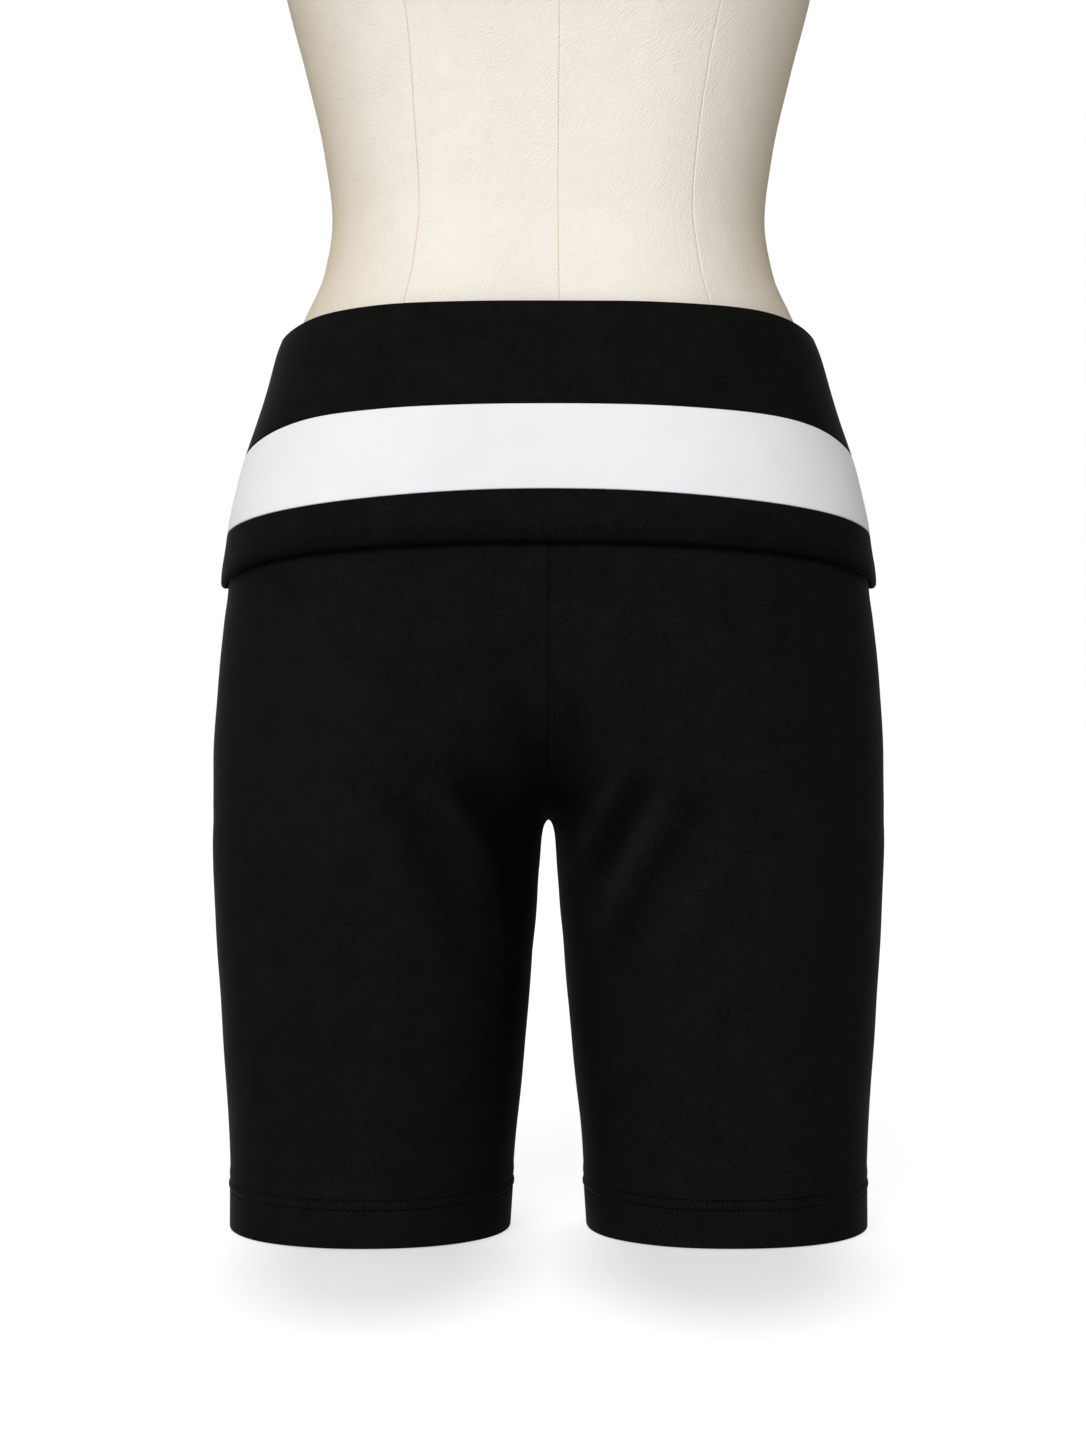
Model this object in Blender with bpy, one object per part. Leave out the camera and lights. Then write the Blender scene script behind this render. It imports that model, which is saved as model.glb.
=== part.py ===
"""Bike shorts with a folded-over waistband, worn by a limbless dress form.

Metres, +Z up. The front faces -Y and the wearer's left is +X. The origin is on the floor,
under the middle of the form.

One body surface drives every piece. It is the outer face of the shorts' cloth, and the
form's own surface, a little way out, above them. At each height it is two rounded
loops, one to a leg, joined by a smooth union. The panels are grids laid on it, the layers
of the waistband lie a named distance outside it, and the form lies inside it.
"""

import math

import bmesh
import bpy
import numpy as np

# Cloth and sewing
WALL = 0.0014            # one thickness of the jersey, as a panel
HEM_WALL = 0.0026        # the turned-up hem, two thicknesses
HEM_DEPTH = 0.0270       # height of the hem allowance
SEAM_GAP = 0.0003        # distance between two pieces at a seam
FLOOR_GAP = 0.0005       # the hems hang just clear of what the form stands on
FOLD_GAP = 0.0006        # air between the two layers of the folded waistband

# Heights on the centre line, and how far each line has dropped at the side seams
WAIST_FOLD = 0.4863
WAIST_FOLD_DROP = 0.0100
BAND_TOP = 0.4337
BAND_TOP_DROP = 0.0155
BAND_BOTTOM = 0.3894
BAND_BOTTOM_DROP = 0.0206
FLAP_EDGE = 0.3627
FLAP_EDGE_DROP = 0.0160
WAIST_SEAM_RISE = 0.0095  # the waist seam hides this far above the flap's lower edge
CROTCH = 0.2182           # where the four leg panels meet

# Dress form
FORM_CLEARANCE = 0.0022   # from the body surface, where the cloth holds close
LEG_CLEARANCE = 0.0048    # the same inside the legs, where it stands off more
FORM_SPLIT = 0.2262       # thigh bases below, torso above
FORM_TOP = 1.0300
NECK_BASE = 0.9800

CROTCH_BLEND = 0.0030                          # roundness of the join between the legs
CROTCH_INNER = CROTCH_BLEND * math.log(2.0)    # the loops' inner edge where they first join

# The body surface. side, middle and inner are a leg loop's outer edge, centre and inner edge
# across X, middle_y its centre along Y, front_y and back_y its reach there.
SECTION_COLUMNS = (
    "z", "side", "middle", "inner", "middle_y", "front_y", "back_y", "squareness", "blend",
)
SECTIONS = (
    (0.0000, 0.1706, 0.0953, 0.0200, -0.003, -0.079, 0.073, 2.15, CROTCH_BLEND),
    (0.0350, 0.1712, 0.0949, 0.0186, -0.003, -0.083, 0.076, 2.15, CROTCH_BLEND),
    (0.0780, 0.1733, 0.0941, 0.0149, -0.003, -0.087, 0.080, 2.15, CROTCH_BLEND),
    (0.1210, 0.1760, 0.0935, 0.0108, -0.003, -0.091, 0.085, 2.15, CROTCH_BLEND),
    (0.1642, 0.1787, 0.0927, 0.0074, -0.002, -0.093, 0.093, 2.15, CROTCH_BLEND),
    (0.1950, 0.1800, 0.0914, 0.0052, -0.001, -0.0940, 0.100, 2.15, CROTCH_BLEND),
    (0.2110, 0.1804, 0.0905, 0.0042, 0.000, -0.0945, 0.104, 2.15, CROTCH_BLEND),
    (CROTCH, 0.1804, 0.0900, CROTCH_INNER, 0.001, -0.0950, 0.107, 2.15, CROTCH_BLEND),
    (0.2282, 0.1806, 0.0891, -0.0040, 0.001, -0.0955, 0.111, 2.16, 0.0075),
    (0.2482, 0.1804, 0.0862, -0.0140, 0.002, -0.0965, 0.118, 2.18, 0.0165),
    (0.2882, 0.1781, 0.0765, -0.0340, 0.003, -0.0990, 0.128, 2.22, 0.0215),
    (0.3262, 0.1745, 0.0662, -0.0500, 0.003, -0.1025, 0.130, 2.25, 0.0180),
    (0.3424, 0.1723, 0.0625, -0.0545, 0.003, -0.1040, 0.128, 2.25, 0.0170),
    (0.3607, 0.1713, 0.0588, -0.0580, 0.003, -0.1055, 0.125, 2.24, 0.0165),
    (0.3737, 0.1703, 0.0566, -0.0595, 0.002, -0.1065, 0.122, 2.23, 0.0160),
    (0.3996, 0.1650, 0.0525, -0.0600, 0.001, -0.1080, 0.116, 2.20, 0.0145),
    (0.4331, 0.1543, 0.0487, -0.0570, -0.001, -0.1068, 0.106, 2.15, 0.0125),
    (0.4655, 0.1428, 0.0439, -0.0550, -0.002, -0.1035, 0.096, 2.12, 0.0115),
    (0.4880, 0.1326, 0.0398, -0.0530, -0.003, -0.0990, 0.088, 2.10, 0.0110),
    (0.5100, 0.1228, 0.0360, -0.0510, -0.004, -0.0945, 0.083, 2.10, 0.0110),
    (0.5395, 0.1182, 0.0341, -0.0500, -0.004, -0.0905, 0.081, 2.10, 0.0110),
    (0.5746, 0.1223, 0.0356, -0.0510, -0.004, -0.0925, 0.085, 2.10, 0.0115),
    (0.6178, 0.1320, 0.0390, -0.0540, -0.004, -0.0975, 0.091, 2.12, 0.0125),
    (0.6610, 0.1431, 0.0436, -0.0560, -0.005, -0.1080, 0.097, 2.15, 0.0140),
    (0.7000, 0.1500, 0.0470, -0.0550, -0.008, -0.1230, 0.100, 2.15, 0.0160),
    (0.7400, 0.1530, 0.0480, -0.0560, -0.010, -0.1300, 0.101, 2.15, 0.0180),
    (0.8000, 0.1575, 0.0443, -0.0700, -0.006, -0.1160, 0.105, 2.20, 0.0200),
    (0.8600, 0.1650, 0.0390, -0.0900, 0.000, -0.0960, 0.107, 2.25, 0.0180),
    (0.8960, 0.1690, 0.0310, -0.1100, 0.002, -0.0830, 0.100, 2.25, 0.0150),
    (0.9160, 0.1610, 0.0220, -0.1200, 0.004, -0.0730, 0.090, 2.15, 0.0120),
    (0.9320, 0.1370, 0.0130, -0.1120, 0.004, -0.0640, 0.079, 2.05, 0.0080),
    (0.9480, 0.1030, 0.0065, -0.0900, 0.003, -0.0570, 0.068, 2.00, 0.0050),
    (0.9620, 0.0750, 0.0020, -0.0710, 0.002, -0.0535, 0.060, 2.00, 0.0030),
    (NECK_BASE, 0.0590, 0.0000, -0.0590, 0.001, -0.0520, 0.055, 2.00, 0.0020),
    (FORM_TOP, 0.0560, 0.0000, -0.0560, 0.000, -0.0520, 0.053, 2.00, 0.0020),
)

# Stations of every grid, as a share of the way round from the centre line to the side
RING_STATIONS = tuple(step / 12.0 for step in range(13))
PANEL_STATIONS = tuple(sorted(RING_STATIONS + (0.012, 0.035, 0.125, 0.208)))
SEAM_TRIM = SEAM_GAP / 2.0 / 0.22       # half a seam gap, as a share of a quarter girth
FAN_POWER = 1.25                        # how a panel's rows curve from crotch to side
FAN_FADE = (0.30, 0.36)                 # heights over which they turn to the waist's curve
DROP_POWER = 3.5                        # how late the waistband's lines drop, going round

# Rows of a leg panel: its height on the inner edge and on the side seam. They fan out from
# the crotch, as the cloth's own grain does.
PANEL_ROWS = (
    # inner            side
    (FLOOR_GAP, FLOOR_GAP),
    (HEM_DEPTH, HEM_DEPTH),
    (HEM_DEPTH + 0.0025, HEM_DEPTH + 0.0025),
    (0.060, 0.056),
    (0.098, 0.088),
    (0.136, 0.118),
    (0.168, 0.143),
    (0.190, 0.162),
    (0.204, 0.176),
    (0.212, 0.187),
    (0.2162, 0.196),
    (CROTCH, 0.204),
    (CROTCH + 0.0010, 0.212),
    (CROTCH + 0.0034, 0.220),
    (CROTCH + 0.0075, 0.229),
    (CROTCH + 0.0135, 0.239),
    (CROTCH + 0.0220, 0.251),
    (CROTCH + 0.0340, 0.264),
    (CROTCH + 0.0500, 0.279),
    (CROTCH + 0.0720, 0.296),
    (CROTCH + 0.0980, 0.316),
    (CROTCH + 0.1260, 0.337),
)

# The largest creases round the crotch: from x, z to x, z, with x the distance from the
# centre line, then half width and depth, where a trough is negative and a ridge positive.
CREASE_COLUMNS = ("panel", "x0", "z0", "x1", "z1", "half_width", "depth")
CREASES = (
    ("front_right", 0.014, 0.204, 0.062, 0.252, 0.0085, -0.0016),
    ("front_right", 0.010, 0.178, 0.046, 0.214, 0.0090, 0.0010),
    ("front_left", 0.020, 0.186, 0.053, 0.236, 0.0080, -0.0016),
    ("front_left", 0.013, 0.199, 0.036, 0.247, 0.0075, 0.0011),
    ("front_left", 0.047, 0.176, 0.083, 0.225, 0.0085, -0.0013),
    ("front_left", 0.036, 0.158, 0.078, 0.209, 0.0085, 0.0010),
    ("back_right", 0.018, 0.184, 0.070, 0.226, 0.0090, -0.0016),
    ("back_right", 0.016, 0.160, 0.060, 0.198, 0.0090, 0.0011),
    ("back_left", 0.022, 0.190, 0.066, 0.236, 0.0085, -0.0015),
    ("back_left", 0.020, 0.166, 0.074, 0.206, 0.0090, 0.0011),
)

# The folded layer's lower strip, from the pale band down to its rolled edge: the share of
# the way down, then how far its outer and inner faces lie outside the body surface.
FLAP_PROFILE = (
    # down   outer   inner
    (0.000, 0.0020, 0.0006),
    (0.330, 0.0026, 0.0007),
    (0.620, 0.0035, 0.0009),
    (0.840, 0.0040, 0.0010),
    (0.950, 0.0037, 0.0012),
    (1.000, 0.0029, 0.0018),
)

# The torso's rows, closer together where the shorts hold it and at the shoulders
TORSO_HEIGHTS = (
    FORM_SPLIT + SEAM_GAP, 0.244, 0.268, 0.295, 0.325, 0.355, 0.382, 0.406, 0.428, 0.449,
    0.468, 0.484, 0.499, 0.514, 0.532, 0.556, 0.586, 0.620, 0.658, 0.698, 0.738, 0.778,
    0.822, 0.862, 0.890, 0.907, 0.921, 0.935, 0.949, 0.963, NECK_BASE, FORM_TOP,
)
THIGH_HEIGHTS = (0.0, 0.032, 0.040, 0.090, 0.140, 0.180, 0.204, 0.216, FORM_SPLIT)

# Colour as it looks (sRGB), roughness
MATERIALS = {
    "black_jersey": ((18, 18, 20), 0.82),
    "pale_band_jersey": ((234, 233, 235), 0.85),
    "form_linen": ((236, 229, 218), 0.88),
}


# ---------------------------------------------------------------- the body surface

def monotone_curve(heights, values):
    """A smooth curve through a table's values that never overshoots them."""
    spans = np.diff(heights)
    slopes = np.diff(values) / spans
    tangents = np.zeros(len(values))
    for i in range(1, len(values) - 1):
        before, after = slopes[i - 1], slopes[i]
        if before * after > 0.0:
            first = 2.0 * spans[i] + spans[i - 1]
            second = spans[i] + 2.0 * spans[i - 1]
            tangents[i] = (first + second) / (first / before + second / after)
    tangents[0], tangents[-1] = slopes[0], slopes[-1]

    def curve(z):
        z = np.clip(z, heights[0], heights[-1])
        i = np.clip(np.searchsorted(heights, z, side="right") - 1, 0, len(spans) - 1)
        span = spans[i]
        t = (z - heights[i]) / span
        start = (1.0 + 2.0 * t) * (1.0 - t) ** 2 * values[i] + t * (1.0 - t) ** 2 * span * tangents[i]
        end = t * t * (3.0 - 2.0 * t) * values[i + 1] + t * t * (t - 1.0) * span * tangents[i + 1]
        return start + end

    return curve


FULL_REACH = 0.30        # farther from a loop's centre than any of its surface
SECTION_TABLE = np.array(SECTIONS)
SECTION_CURVES = {
    name: monotone_curve(SECTION_TABLE[:, 0], SECTION_TABLE[:, column])
    for column, name in enumerate(SECTION_COLUMNS)
    if name != "z"
}


def section_at(z):
    """The values of the section table at the heights z."""
    return {name: curve(z) for name, curve in SECTION_CURVES.items()}


def loop_distance(x, y, section):
    """About how far points lie outside the leg loop on +X, negative inside it."""
    outer = section["side"] - section["middle"]
    inner = section["middle"] - section["inner"]
    front = section["middle_y"] - section["front_y"]
    back = section["back_y"] - section["middle_y"]
    width = np.where(x > section["middle"], outer, inner)
    depth = np.where(y < section["middle_y"], front, back)
    power = section["squareness"]
    across = np.abs((x - section["middle"]) / width) ** power
    along = np.abs((y - section["middle_y"]) / depth) ** power
    radius = (across + along) ** (1.0 / power)
    return (radius - 1.0) * np.minimum(np.minimum(outer, inner), np.minimum(front, back))


def body_distance(x, y, z, section=None):
    """About how far points lie outside the body surface, negative inside it."""
    section = section_at(z) if section is None else section
    left = loop_distance(x, y, section)
    right = loop_distance(-x, y, section)
    blend = section["blend"]
    return np.minimum(left, right) - blend * np.log1p(np.exp(-np.abs(left - right) / blend))


def bisect(inside, low, high):
    """Where the test stops being true, between low and high."""
    for _ in range(44):
        middle = (low + high) / 2.0
        within = inside(middle)
        low = np.where(within, middle, low)
        high = np.where(within, high, middle)
    return (low + high) / 2.0


def start_angle(z, half, clearance=0.0):
    """Where a section begins, as an angle round the +X loop's centre from its side point.

    It begins on the centre line where the legs are joined, and at the inside leg below.
    half is -1 for the front and 1 for the back. A clearance gives the form's surface.
    """
    z = np.asarray(z, float)
    section = section_at(z)
    centre_x, centre_y = section["middle"], section["middle_y"]
    on_centre = bisect(
        lambda r: body_distance(0.0 * z, centre_y + half * r, z, section) < -clearance,
        0.0 * z, np.full(z.shape, FULL_REACH),
    )
    joined = body_distance(0.0 * z, centre_y, z, section) < -clearance
    return np.where(joined, np.arctan2(on_centre, -centre_x), math.pi)


def surface_points(angle, z, half, clearance=0.0):
    """Points of the body surface at an angle round the +X loop's centre and a height."""
    angle, z, clearance = np.broadcast_arrays(angle, z, clearance)
    section = section_at(z)
    centre_x, centre_y = section["middle"], section["middle_y"]
    along_x, along_y = np.cos(angle), half * np.sin(angle)
    to_centre_line = centre_x / np.maximum(-along_x, 1e-9)
    limit = np.where(along_x < 0.0, np.minimum(FULL_REACH, to_centre_line), FULL_REACH)
    radius = bisect(
        lambda r: body_distance(
            centre_x + r * along_x, centre_y + r * along_y, z, section
        ) < -clearance,
        0.0 * z, limit,
    )
    return np.stack([centre_x + radius * along_x, centre_y + radius * along_y, z], axis=-1)


def surface_normals(points, step=0.0002):
    """Outward unit normals of the body surface at some points."""
    x, y, z = points[..., 0], points[..., 1], points[..., 2]
    gradient = np.stack([
        body_distance(x + step, y, z) - body_distance(x - step, y, z),
        body_distance(x, y + step, z) - body_distance(x, y - step, z),
        body_distance(x, y, z + step) - body_distance(x, y, z - step),
    ], axis=-1)
    return gradient / np.linalg.norm(gradient, axis=-1, keepdims=True)


def crease_relief(points, panel):
    """How far a panel's cloth stands out of the body surface in its ridges and troughs."""
    relief = np.zeros(points.shape[:-1])
    for row in CREASES:
        crease = dict(zip(CREASE_COLUMNS, row))
        if crease["panel"] != panel:
            continue
        start = np.array([crease["x0"], crease["z0"]])
        run = np.array([crease["x1"], crease["z1"]]) - start
        length = np.hypot(*run)
        offset = points[..., (0, 2)] - start
        along = offset @ run / length ** 2
        across = (offset[..., 0] * run[1] - offset[..., 1] * run[0]) / length
        fade = np.exp(-((along - 0.45) / 0.42) ** 4)
        relief += crease["depth"] * fade * np.exp(-0.5 * (across / crease["half_width"]) ** 2)
    return relief


def edge_swing(share):
    """How much of its drop a waistband line has made, a share of the way to the side."""
    return np.sin(math.pi / 2.0 * np.asarray(share)) ** DROP_POWER


def dropped(height, drop, share):
    """A line's height, a share of the way round from the centre line to the side seam."""
    return height - drop * edge_swing(share)


# ---------------------------------------------------------------- meshes

def turn_outwards(mesh):
    """Point all the faces of a closed mesh out of its material."""
    bmesh.ops.recalc_face_normals(mesh, faces=mesh.faces)
    if mesh.calc_volume(signed=True) < 0.0:
        bmesh.ops.reverse_faces(mesh, faces=mesh.faces)


def cloth_grid(columns, rows, place, closed, mirrored=False):
    """A closed wall of cloth: a grid, its second face, and the edges between them.

    place(column, row, face) gives the points for arrays of grid indices, where face is 0
    for the outer face and 1 for the inner one. closed welds the last column to the first.
    """
    mesh = bmesh.new()
    index = mesh.verts.layers.float_vector.new("grid_index")
    bmesh.ops.create_grid(mesh, x_segments=columns, y_segments=rows, size=0.5)
    for vertex in mesh.verts:
        vertex[index] = (round((vertex.co.x + 0.5) * columns), round((vertex.co.y + 0.5) * rows), 0.0)
    if closed:
        for vertex in mesh.verts:
            turn = 2.0 * math.pi * (vertex[index].x % columns) / columns
            vertex.co = (math.cos(turn), math.sin(turn), vertex[index].y)
        bmesh.ops.remove_doubles(mesh, verts=mesh.verts, dist=1e-5)
    wall = bmesh.ops.extrude_face_region(mesh, geom=mesh.faces[:], use_keep_orig=True)
    for element in wall["geom"]:
        if isinstance(element, bmesh.types.BMVert):
            element[index].z = 1.0
    grid = np.array([vertex[index][:] for vertex in mesh.verts]).round().astype(int)
    grid[:, 0] %= columns if closed else columns + 1
    points = place(grid[:, 0], grid[:, 1], grid[:, 2])
    if mirrored:
        points = points * np.array([-1.0, 1.0, 1.0])
    for vertex, point in zip(mesh.verts, points):
        vertex.co = point
    mesh.verts.layers.float_vector.remove(index)
    turn_outwards(mesh)
    return mesh


def solid_tube(columns, heights, place):
    """A closed solid: rings of points at each height, with a flat cap at both ends."""
    rows = len(heights) - 1
    mesh = bmesh.new()
    bmesh.ops.create_grid(mesh, x_segments=columns, y_segments=rows, size=0.5)
    grid = [(round((v.co.x + 0.5) * columns) % columns, round((v.co.y + 0.5) * rows)) for v in mesh.verts]
    column, row = np.array(grid).T
    points = place(column, np.asarray(heights)[row])
    for vertex, point in zip(mesh.verts, points):
        vertex.co = point
    bmesh.ops.remove_doubles(mesh, verts=mesh.verts, dist=1e-6)
    rims = [edge for edge in mesh.edges if edge.is_boundary]
    bmesh.ops.holes_fill(mesh, edges=rims, sides=0)
    turn_outwards(mesh)
    return mesh


def add_piece(name, mesh, material, collection):
    """Put a finished mesh in the scene as one named piece."""
    data = bpy.data.meshes.new(name)
    mesh.to_mesh(data)
    mesh.free()
    data.materials.append(material)
    data.shade_smooth()
    data.set_sharp_from_angle(angle=math.radians(50.0))
    piece = bpy.data.objects.new(name, data)
    collection.objects.link(piece)
    return piece


def make_material(name):
    """A Principled material of one colour and roughness."""
    colour, roughness = MATERIALS[name]
    linear = [((c / 255.0 + 0.055) / 1.055) ** 2.4 if c > 10 else c / 255.0 / 12.92 for c in colour]
    material = bpy.data.materials.new(name)
    material.use_nodes = True
    shader = material.node_tree.nodes["Principled BSDF"]
    shader.inputs["Base Color"].default_value = (*linear, 1.0)
    shader.inputs["Roughness"].default_value = roughness
    shader.inputs["Metallic"].default_value = 0.0
    return material


# ---------------------------------------------------------------- the pieces

def ring_points(column, z_of_share, offset, clearance=0.0):
    """Points all round the body, for columns that count from the centre front to +X.

    z_of_share gives the height a share of the way from a centre line to the side.
    """
    steps = len(RING_STATIONS) - 1
    quarter, step = np.divmod(column, steps)
    share = np.where(quarter % 2 == 0, step, steps - step) / steps
    half = np.where((quarter == 0) | (quarter == 3), -1.0, 1.0)
    start = start_angle(z_of_share(0.0 * share), half, clearance)
    points = surface_points(start * (1.0 - share), z_of_share(share), half, clearance)
    if np.any(offset):
        points = points + surface_normals(points) * np.asarray(offset)[..., None]
    points[..., 0] *= np.where(quarter < 2, 1.0, -1.0)
    return points


RING_COLUMNS = 4 * (len(RING_STATIONS) - 1)


def waist_seam(share):
    """Height of the hidden seam between the leg panels and the waistband."""
    return dropped(FLAP_EDGE + WAIST_SEAM_RISE, FLAP_EDGE_DROP, share)


def leg_panel(half, panel, mirrored):
    """One of the four leg panels, with its doubled hem and its creases."""
    stations = SEAM_TRIM + (1.0 - 2.0 * SEAM_TRIM) * np.array(PANEL_STATIONS)
    seam = waist_seam(np.array([0.0, 1.0])) - SEAM_GAP
    heights = np.vstack([PANEL_ROWS, seam])

    def place(column, row, face):
        share = stations[column]
        inner, side = heights[row].T
        level = np.interp(inner, FAN_FADE, (0.0, 1.0))
        swing = (1.0 - level) * share ** FAN_POWER + level * edge_swing(share)
        z = inner + (side - inner) * swing
        points = surface_points(start_angle(inner, half) * (1.0 - share), z, half)
        wall = np.where(row <= 1, HEM_WALL, WALL)
        offset = crease_relief(points, panel) - wall * face
        points = points + surface_normals(points) * offset[:, None]
        points[:, 0] = np.maximum(points[:, 0], SEAM_GAP / 2.0)
        points[row == 0, 2] = FLOOR_GAP
        return points

    return cloth_grid(
        len(stations) - 1, len(heights) - 1, place, closed=False, mirrored=mirrored
    )


def waistband():
    """The black tube that runs up inside, over the top fold and down to the pale band."""
    fold_radius = (WALL + FOLD_GAP + WALL) / 2.0
    inner_rises = np.linspace(0.0, 1.0, 6)[:-1]
    fold_angles = np.radians([180.0, 126.0, 90.0, 54.0, 0.0])
    outer_rises = np.linspace(1.0, 0.0, 5)[1:]
    # Each row: its rise from the layer's lower line to the fold, and its angle in the fold
    rises = np.concatenate([inner_rises, np.ones(len(fold_angles)), outer_rises])
    angles = np.concatenate([
        np.full(len(inner_rises), math.pi), fold_angles, np.zeros(len(outer_rises)),
    ])

    def place(column, row, face):
        radius = np.where(face == 0, fold_radius, FOLD_GAP / 2.0)
        rise, angle = rises[row], angles[row]

        def height(share):
            fold = dropped(WAIST_FOLD - fold_radius, WAIST_FOLD_DROP, share)
            pale_edge = dropped(BAND_TOP, BAND_TOP_DROP, share) + SEAM_GAP / 2.0
            lower = np.where(angle > math.pi / 2.0, waist_seam(share), pale_edge)
            return lower + (fold - lower) * rise + radius * np.sin(angle)

        return ring_points(column, height, FOLD_GAP / 2.0 + radius * np.cos(angle))

    return cloth_grid(RING_COLUMNS, len(rises) - 1, place, closed=True)


def banded_ring(top, bottom, profile):
    """A tube of the folded layer between two lines, with the offsets of a profile."""
    down, outer, inner = np.array(profile).T

    def place(column, row, face):
        offset = np.where(face == 0, outer[row], inner[row])
        return ring_points(column, lambda s: top(s) + (bottom(s) - top(s)) * down[row], offset)

    return cloth_grid(RING_COLUMNS, len(down) - 1, place, closed=True)


def pale_band():
    """The pale band, between the two black parts of the folded layer."""
    outer, inner = FOLD_GAP + WALL, FOLD_GAP
    return banded_ring(
        lambda s: dropped(BAND_TOP, BAND_TOP_DROP, s) - SEAM_GAP / 2.0,
        lambda s: dropped(BAND_BOTTOM, BAND_BOTTOM_DROP, s) + SEAM_GAP / 2.0,
        [(down, outer, inner) for down in (0.0, 0.34, 0.67, 1.0)],
    )


def flap_strip():
    """The lower strip of the folded layer, down to its rolled edge."""
    return banded_ring(
        lambda s: dropped(BAND_BOTTOM, BAND_BOTTOM_DROP, s) - SEAM_GAP / 2.0,
        lambda s: dropped(FLAP_EDGE, FLAP_EDGE_DROP, s),
        FLAP_PROFILE,
    )


def form_clearance(z):
    """How far inside the body surface the form lies: more inside the legs and the hems."""
    inside_hem = HEM_WALL - WALL
    return np.interp(
        z, (HEM_DEPTH + 0.006, HEM_DEPTH + 0.012, 0.33, 0.39),
        (LEG_CLEARANCE + inside_hem, LEG_CLEARANCE, LEG_CLEARANCE, FORM_CLEARANCE),
    )


def form_torso():
    """The form from the top of the thighs to the neck."""
    def place(column, z):
        return ring_points(column, lambda s: z, 0.0, form_clearance(z))

    return solid_tube(RING_COLUMNS, TORSO_HEIGHTS, place)


def form_thigh(mirrored):
    """One thigh base, from the flat sole up to the torso."""
    steps = len(RING_STATIONS) - 1
    columns = 2 * steps + 1
    trimmed = SEAM_TRIM + (1.0 - SEAM_TRIM) * np.array(RING_STATIONS)

    def place(column, z):
        half = np.where(column <= steps, -1.0, 1.0)
        share = trimmed[np.where(column <= steps, column, 2 * steps - column)]
        clearance = form_clearance(z)
        angle = start_angle(z, half, clearance) * (1.0 - share)
        points = surface_points(angle, z, half, clearance)
        points[:, 0] = np.maximum(points[:, 0], SEAM_GAP / 2.0)
        return points * np.array([-1.0 if mirrored else 1.0, 1.0, 1.0])

    return solid_tube(columns, THIGH_HEIGHTS, place)


def clear_scene():
    """Remove whatever the new file opened with."""
    for thing in list(bpy.data.objects):
        bpy.data.objects.remove(thing, do_unlink=True)


def main():
    clear_scene()
    collection = bpy.data.collections.new("bike_shorts_on_form")
    bpy.context.scene.collection.children.link(collection)
    black, pale, linen = (make_material(name) for name in MATERIALS)
    for side, mirrored in (("left", False), ("right", True)):
        for face, half in (("front", -1.0), ("back", 1.0)):
            panel = f"{face}_{side}"
            add_piece(f"leg_{panel}", leg_panel(half, panel, mirrored), black, collection)
        add_piece(f"form_thigh_{side}", form_thigh(mirrored), linen, collection)
    add_piece("waistband", waistband(), black, collection)
    add_piece("pale_band", pale_band(), pale, collection)
    add_piece("flap_strip", flap_strip(), black, collection)
    add_piece("form_torso", form_torso(), linen, collection)


main()
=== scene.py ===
"""Bike shorts with a folded-over waistband, worn by a limbless, linen-covered dress form.

Metres, +Z up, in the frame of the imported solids: the front faces -Y and the wearer's left
is +X. One body surface, the outer face of the shorts, drives every piece, as it does in the
solids. Each piece of cloth is a thin closed sheet laid on it, with its creases, seams,
turned hem and folds, and its UV map is the cloth laid flat, in metres.
"""

import math

import bmesh
import bpy
import numpy as np
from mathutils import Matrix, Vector


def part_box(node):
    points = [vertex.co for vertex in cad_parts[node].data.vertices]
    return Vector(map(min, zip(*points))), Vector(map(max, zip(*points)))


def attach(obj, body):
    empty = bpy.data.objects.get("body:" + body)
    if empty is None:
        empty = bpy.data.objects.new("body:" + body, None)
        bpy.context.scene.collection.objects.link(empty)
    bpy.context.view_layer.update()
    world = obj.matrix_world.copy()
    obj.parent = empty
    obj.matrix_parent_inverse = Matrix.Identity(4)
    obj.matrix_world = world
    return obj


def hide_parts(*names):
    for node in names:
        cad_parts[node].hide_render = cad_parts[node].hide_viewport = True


bl_info = {
    "name": "Bike shorts on a dress form",
    "version": (1, 0, 0),
    "blender": (4, 5, 0),
    "location": "View3D > Sidebar > Bike shorts",
    "description": "Models fold-over jersey bike shorts on a linen dress form",
    "category": "Add Mesh",
}

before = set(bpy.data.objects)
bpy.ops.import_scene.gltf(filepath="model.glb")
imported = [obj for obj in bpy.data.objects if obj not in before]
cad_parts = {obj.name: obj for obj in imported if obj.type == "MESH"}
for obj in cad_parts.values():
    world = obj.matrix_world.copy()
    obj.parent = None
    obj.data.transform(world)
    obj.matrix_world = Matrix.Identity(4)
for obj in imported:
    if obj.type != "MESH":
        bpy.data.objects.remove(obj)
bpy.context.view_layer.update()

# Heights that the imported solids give
FLOOR_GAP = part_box("leg_front_left")[0].z
WAIST_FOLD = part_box("waistband")[1].z - 0.0010
BAND_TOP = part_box("pale_band")[1].z - 0.0015
FORM_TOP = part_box("form_torso")[1].z

# How far each line drops at the side seams: evenly going round, and only close to them
WAIST_FOLD_DROP = (0.0031, 0.0088)
BAND_TOP_DROP = (0.0070, 0.0145)
BAND_BOTTOM = 0.3894
BAND_BOTTOM_DROP = (0.0130, 0.0052)
FLAP_EDGE = 0.3630
FLAP_EDGE_DROP = (0.0092, 0.0108)
WAIST_SEAM_RISE = 0.0095
CROTCH = 0.2182
DROP_POWERS = (2.0, 10.0)
SWING_POWER = 3.5         # how late the panels' upper rows drop, going round

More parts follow.
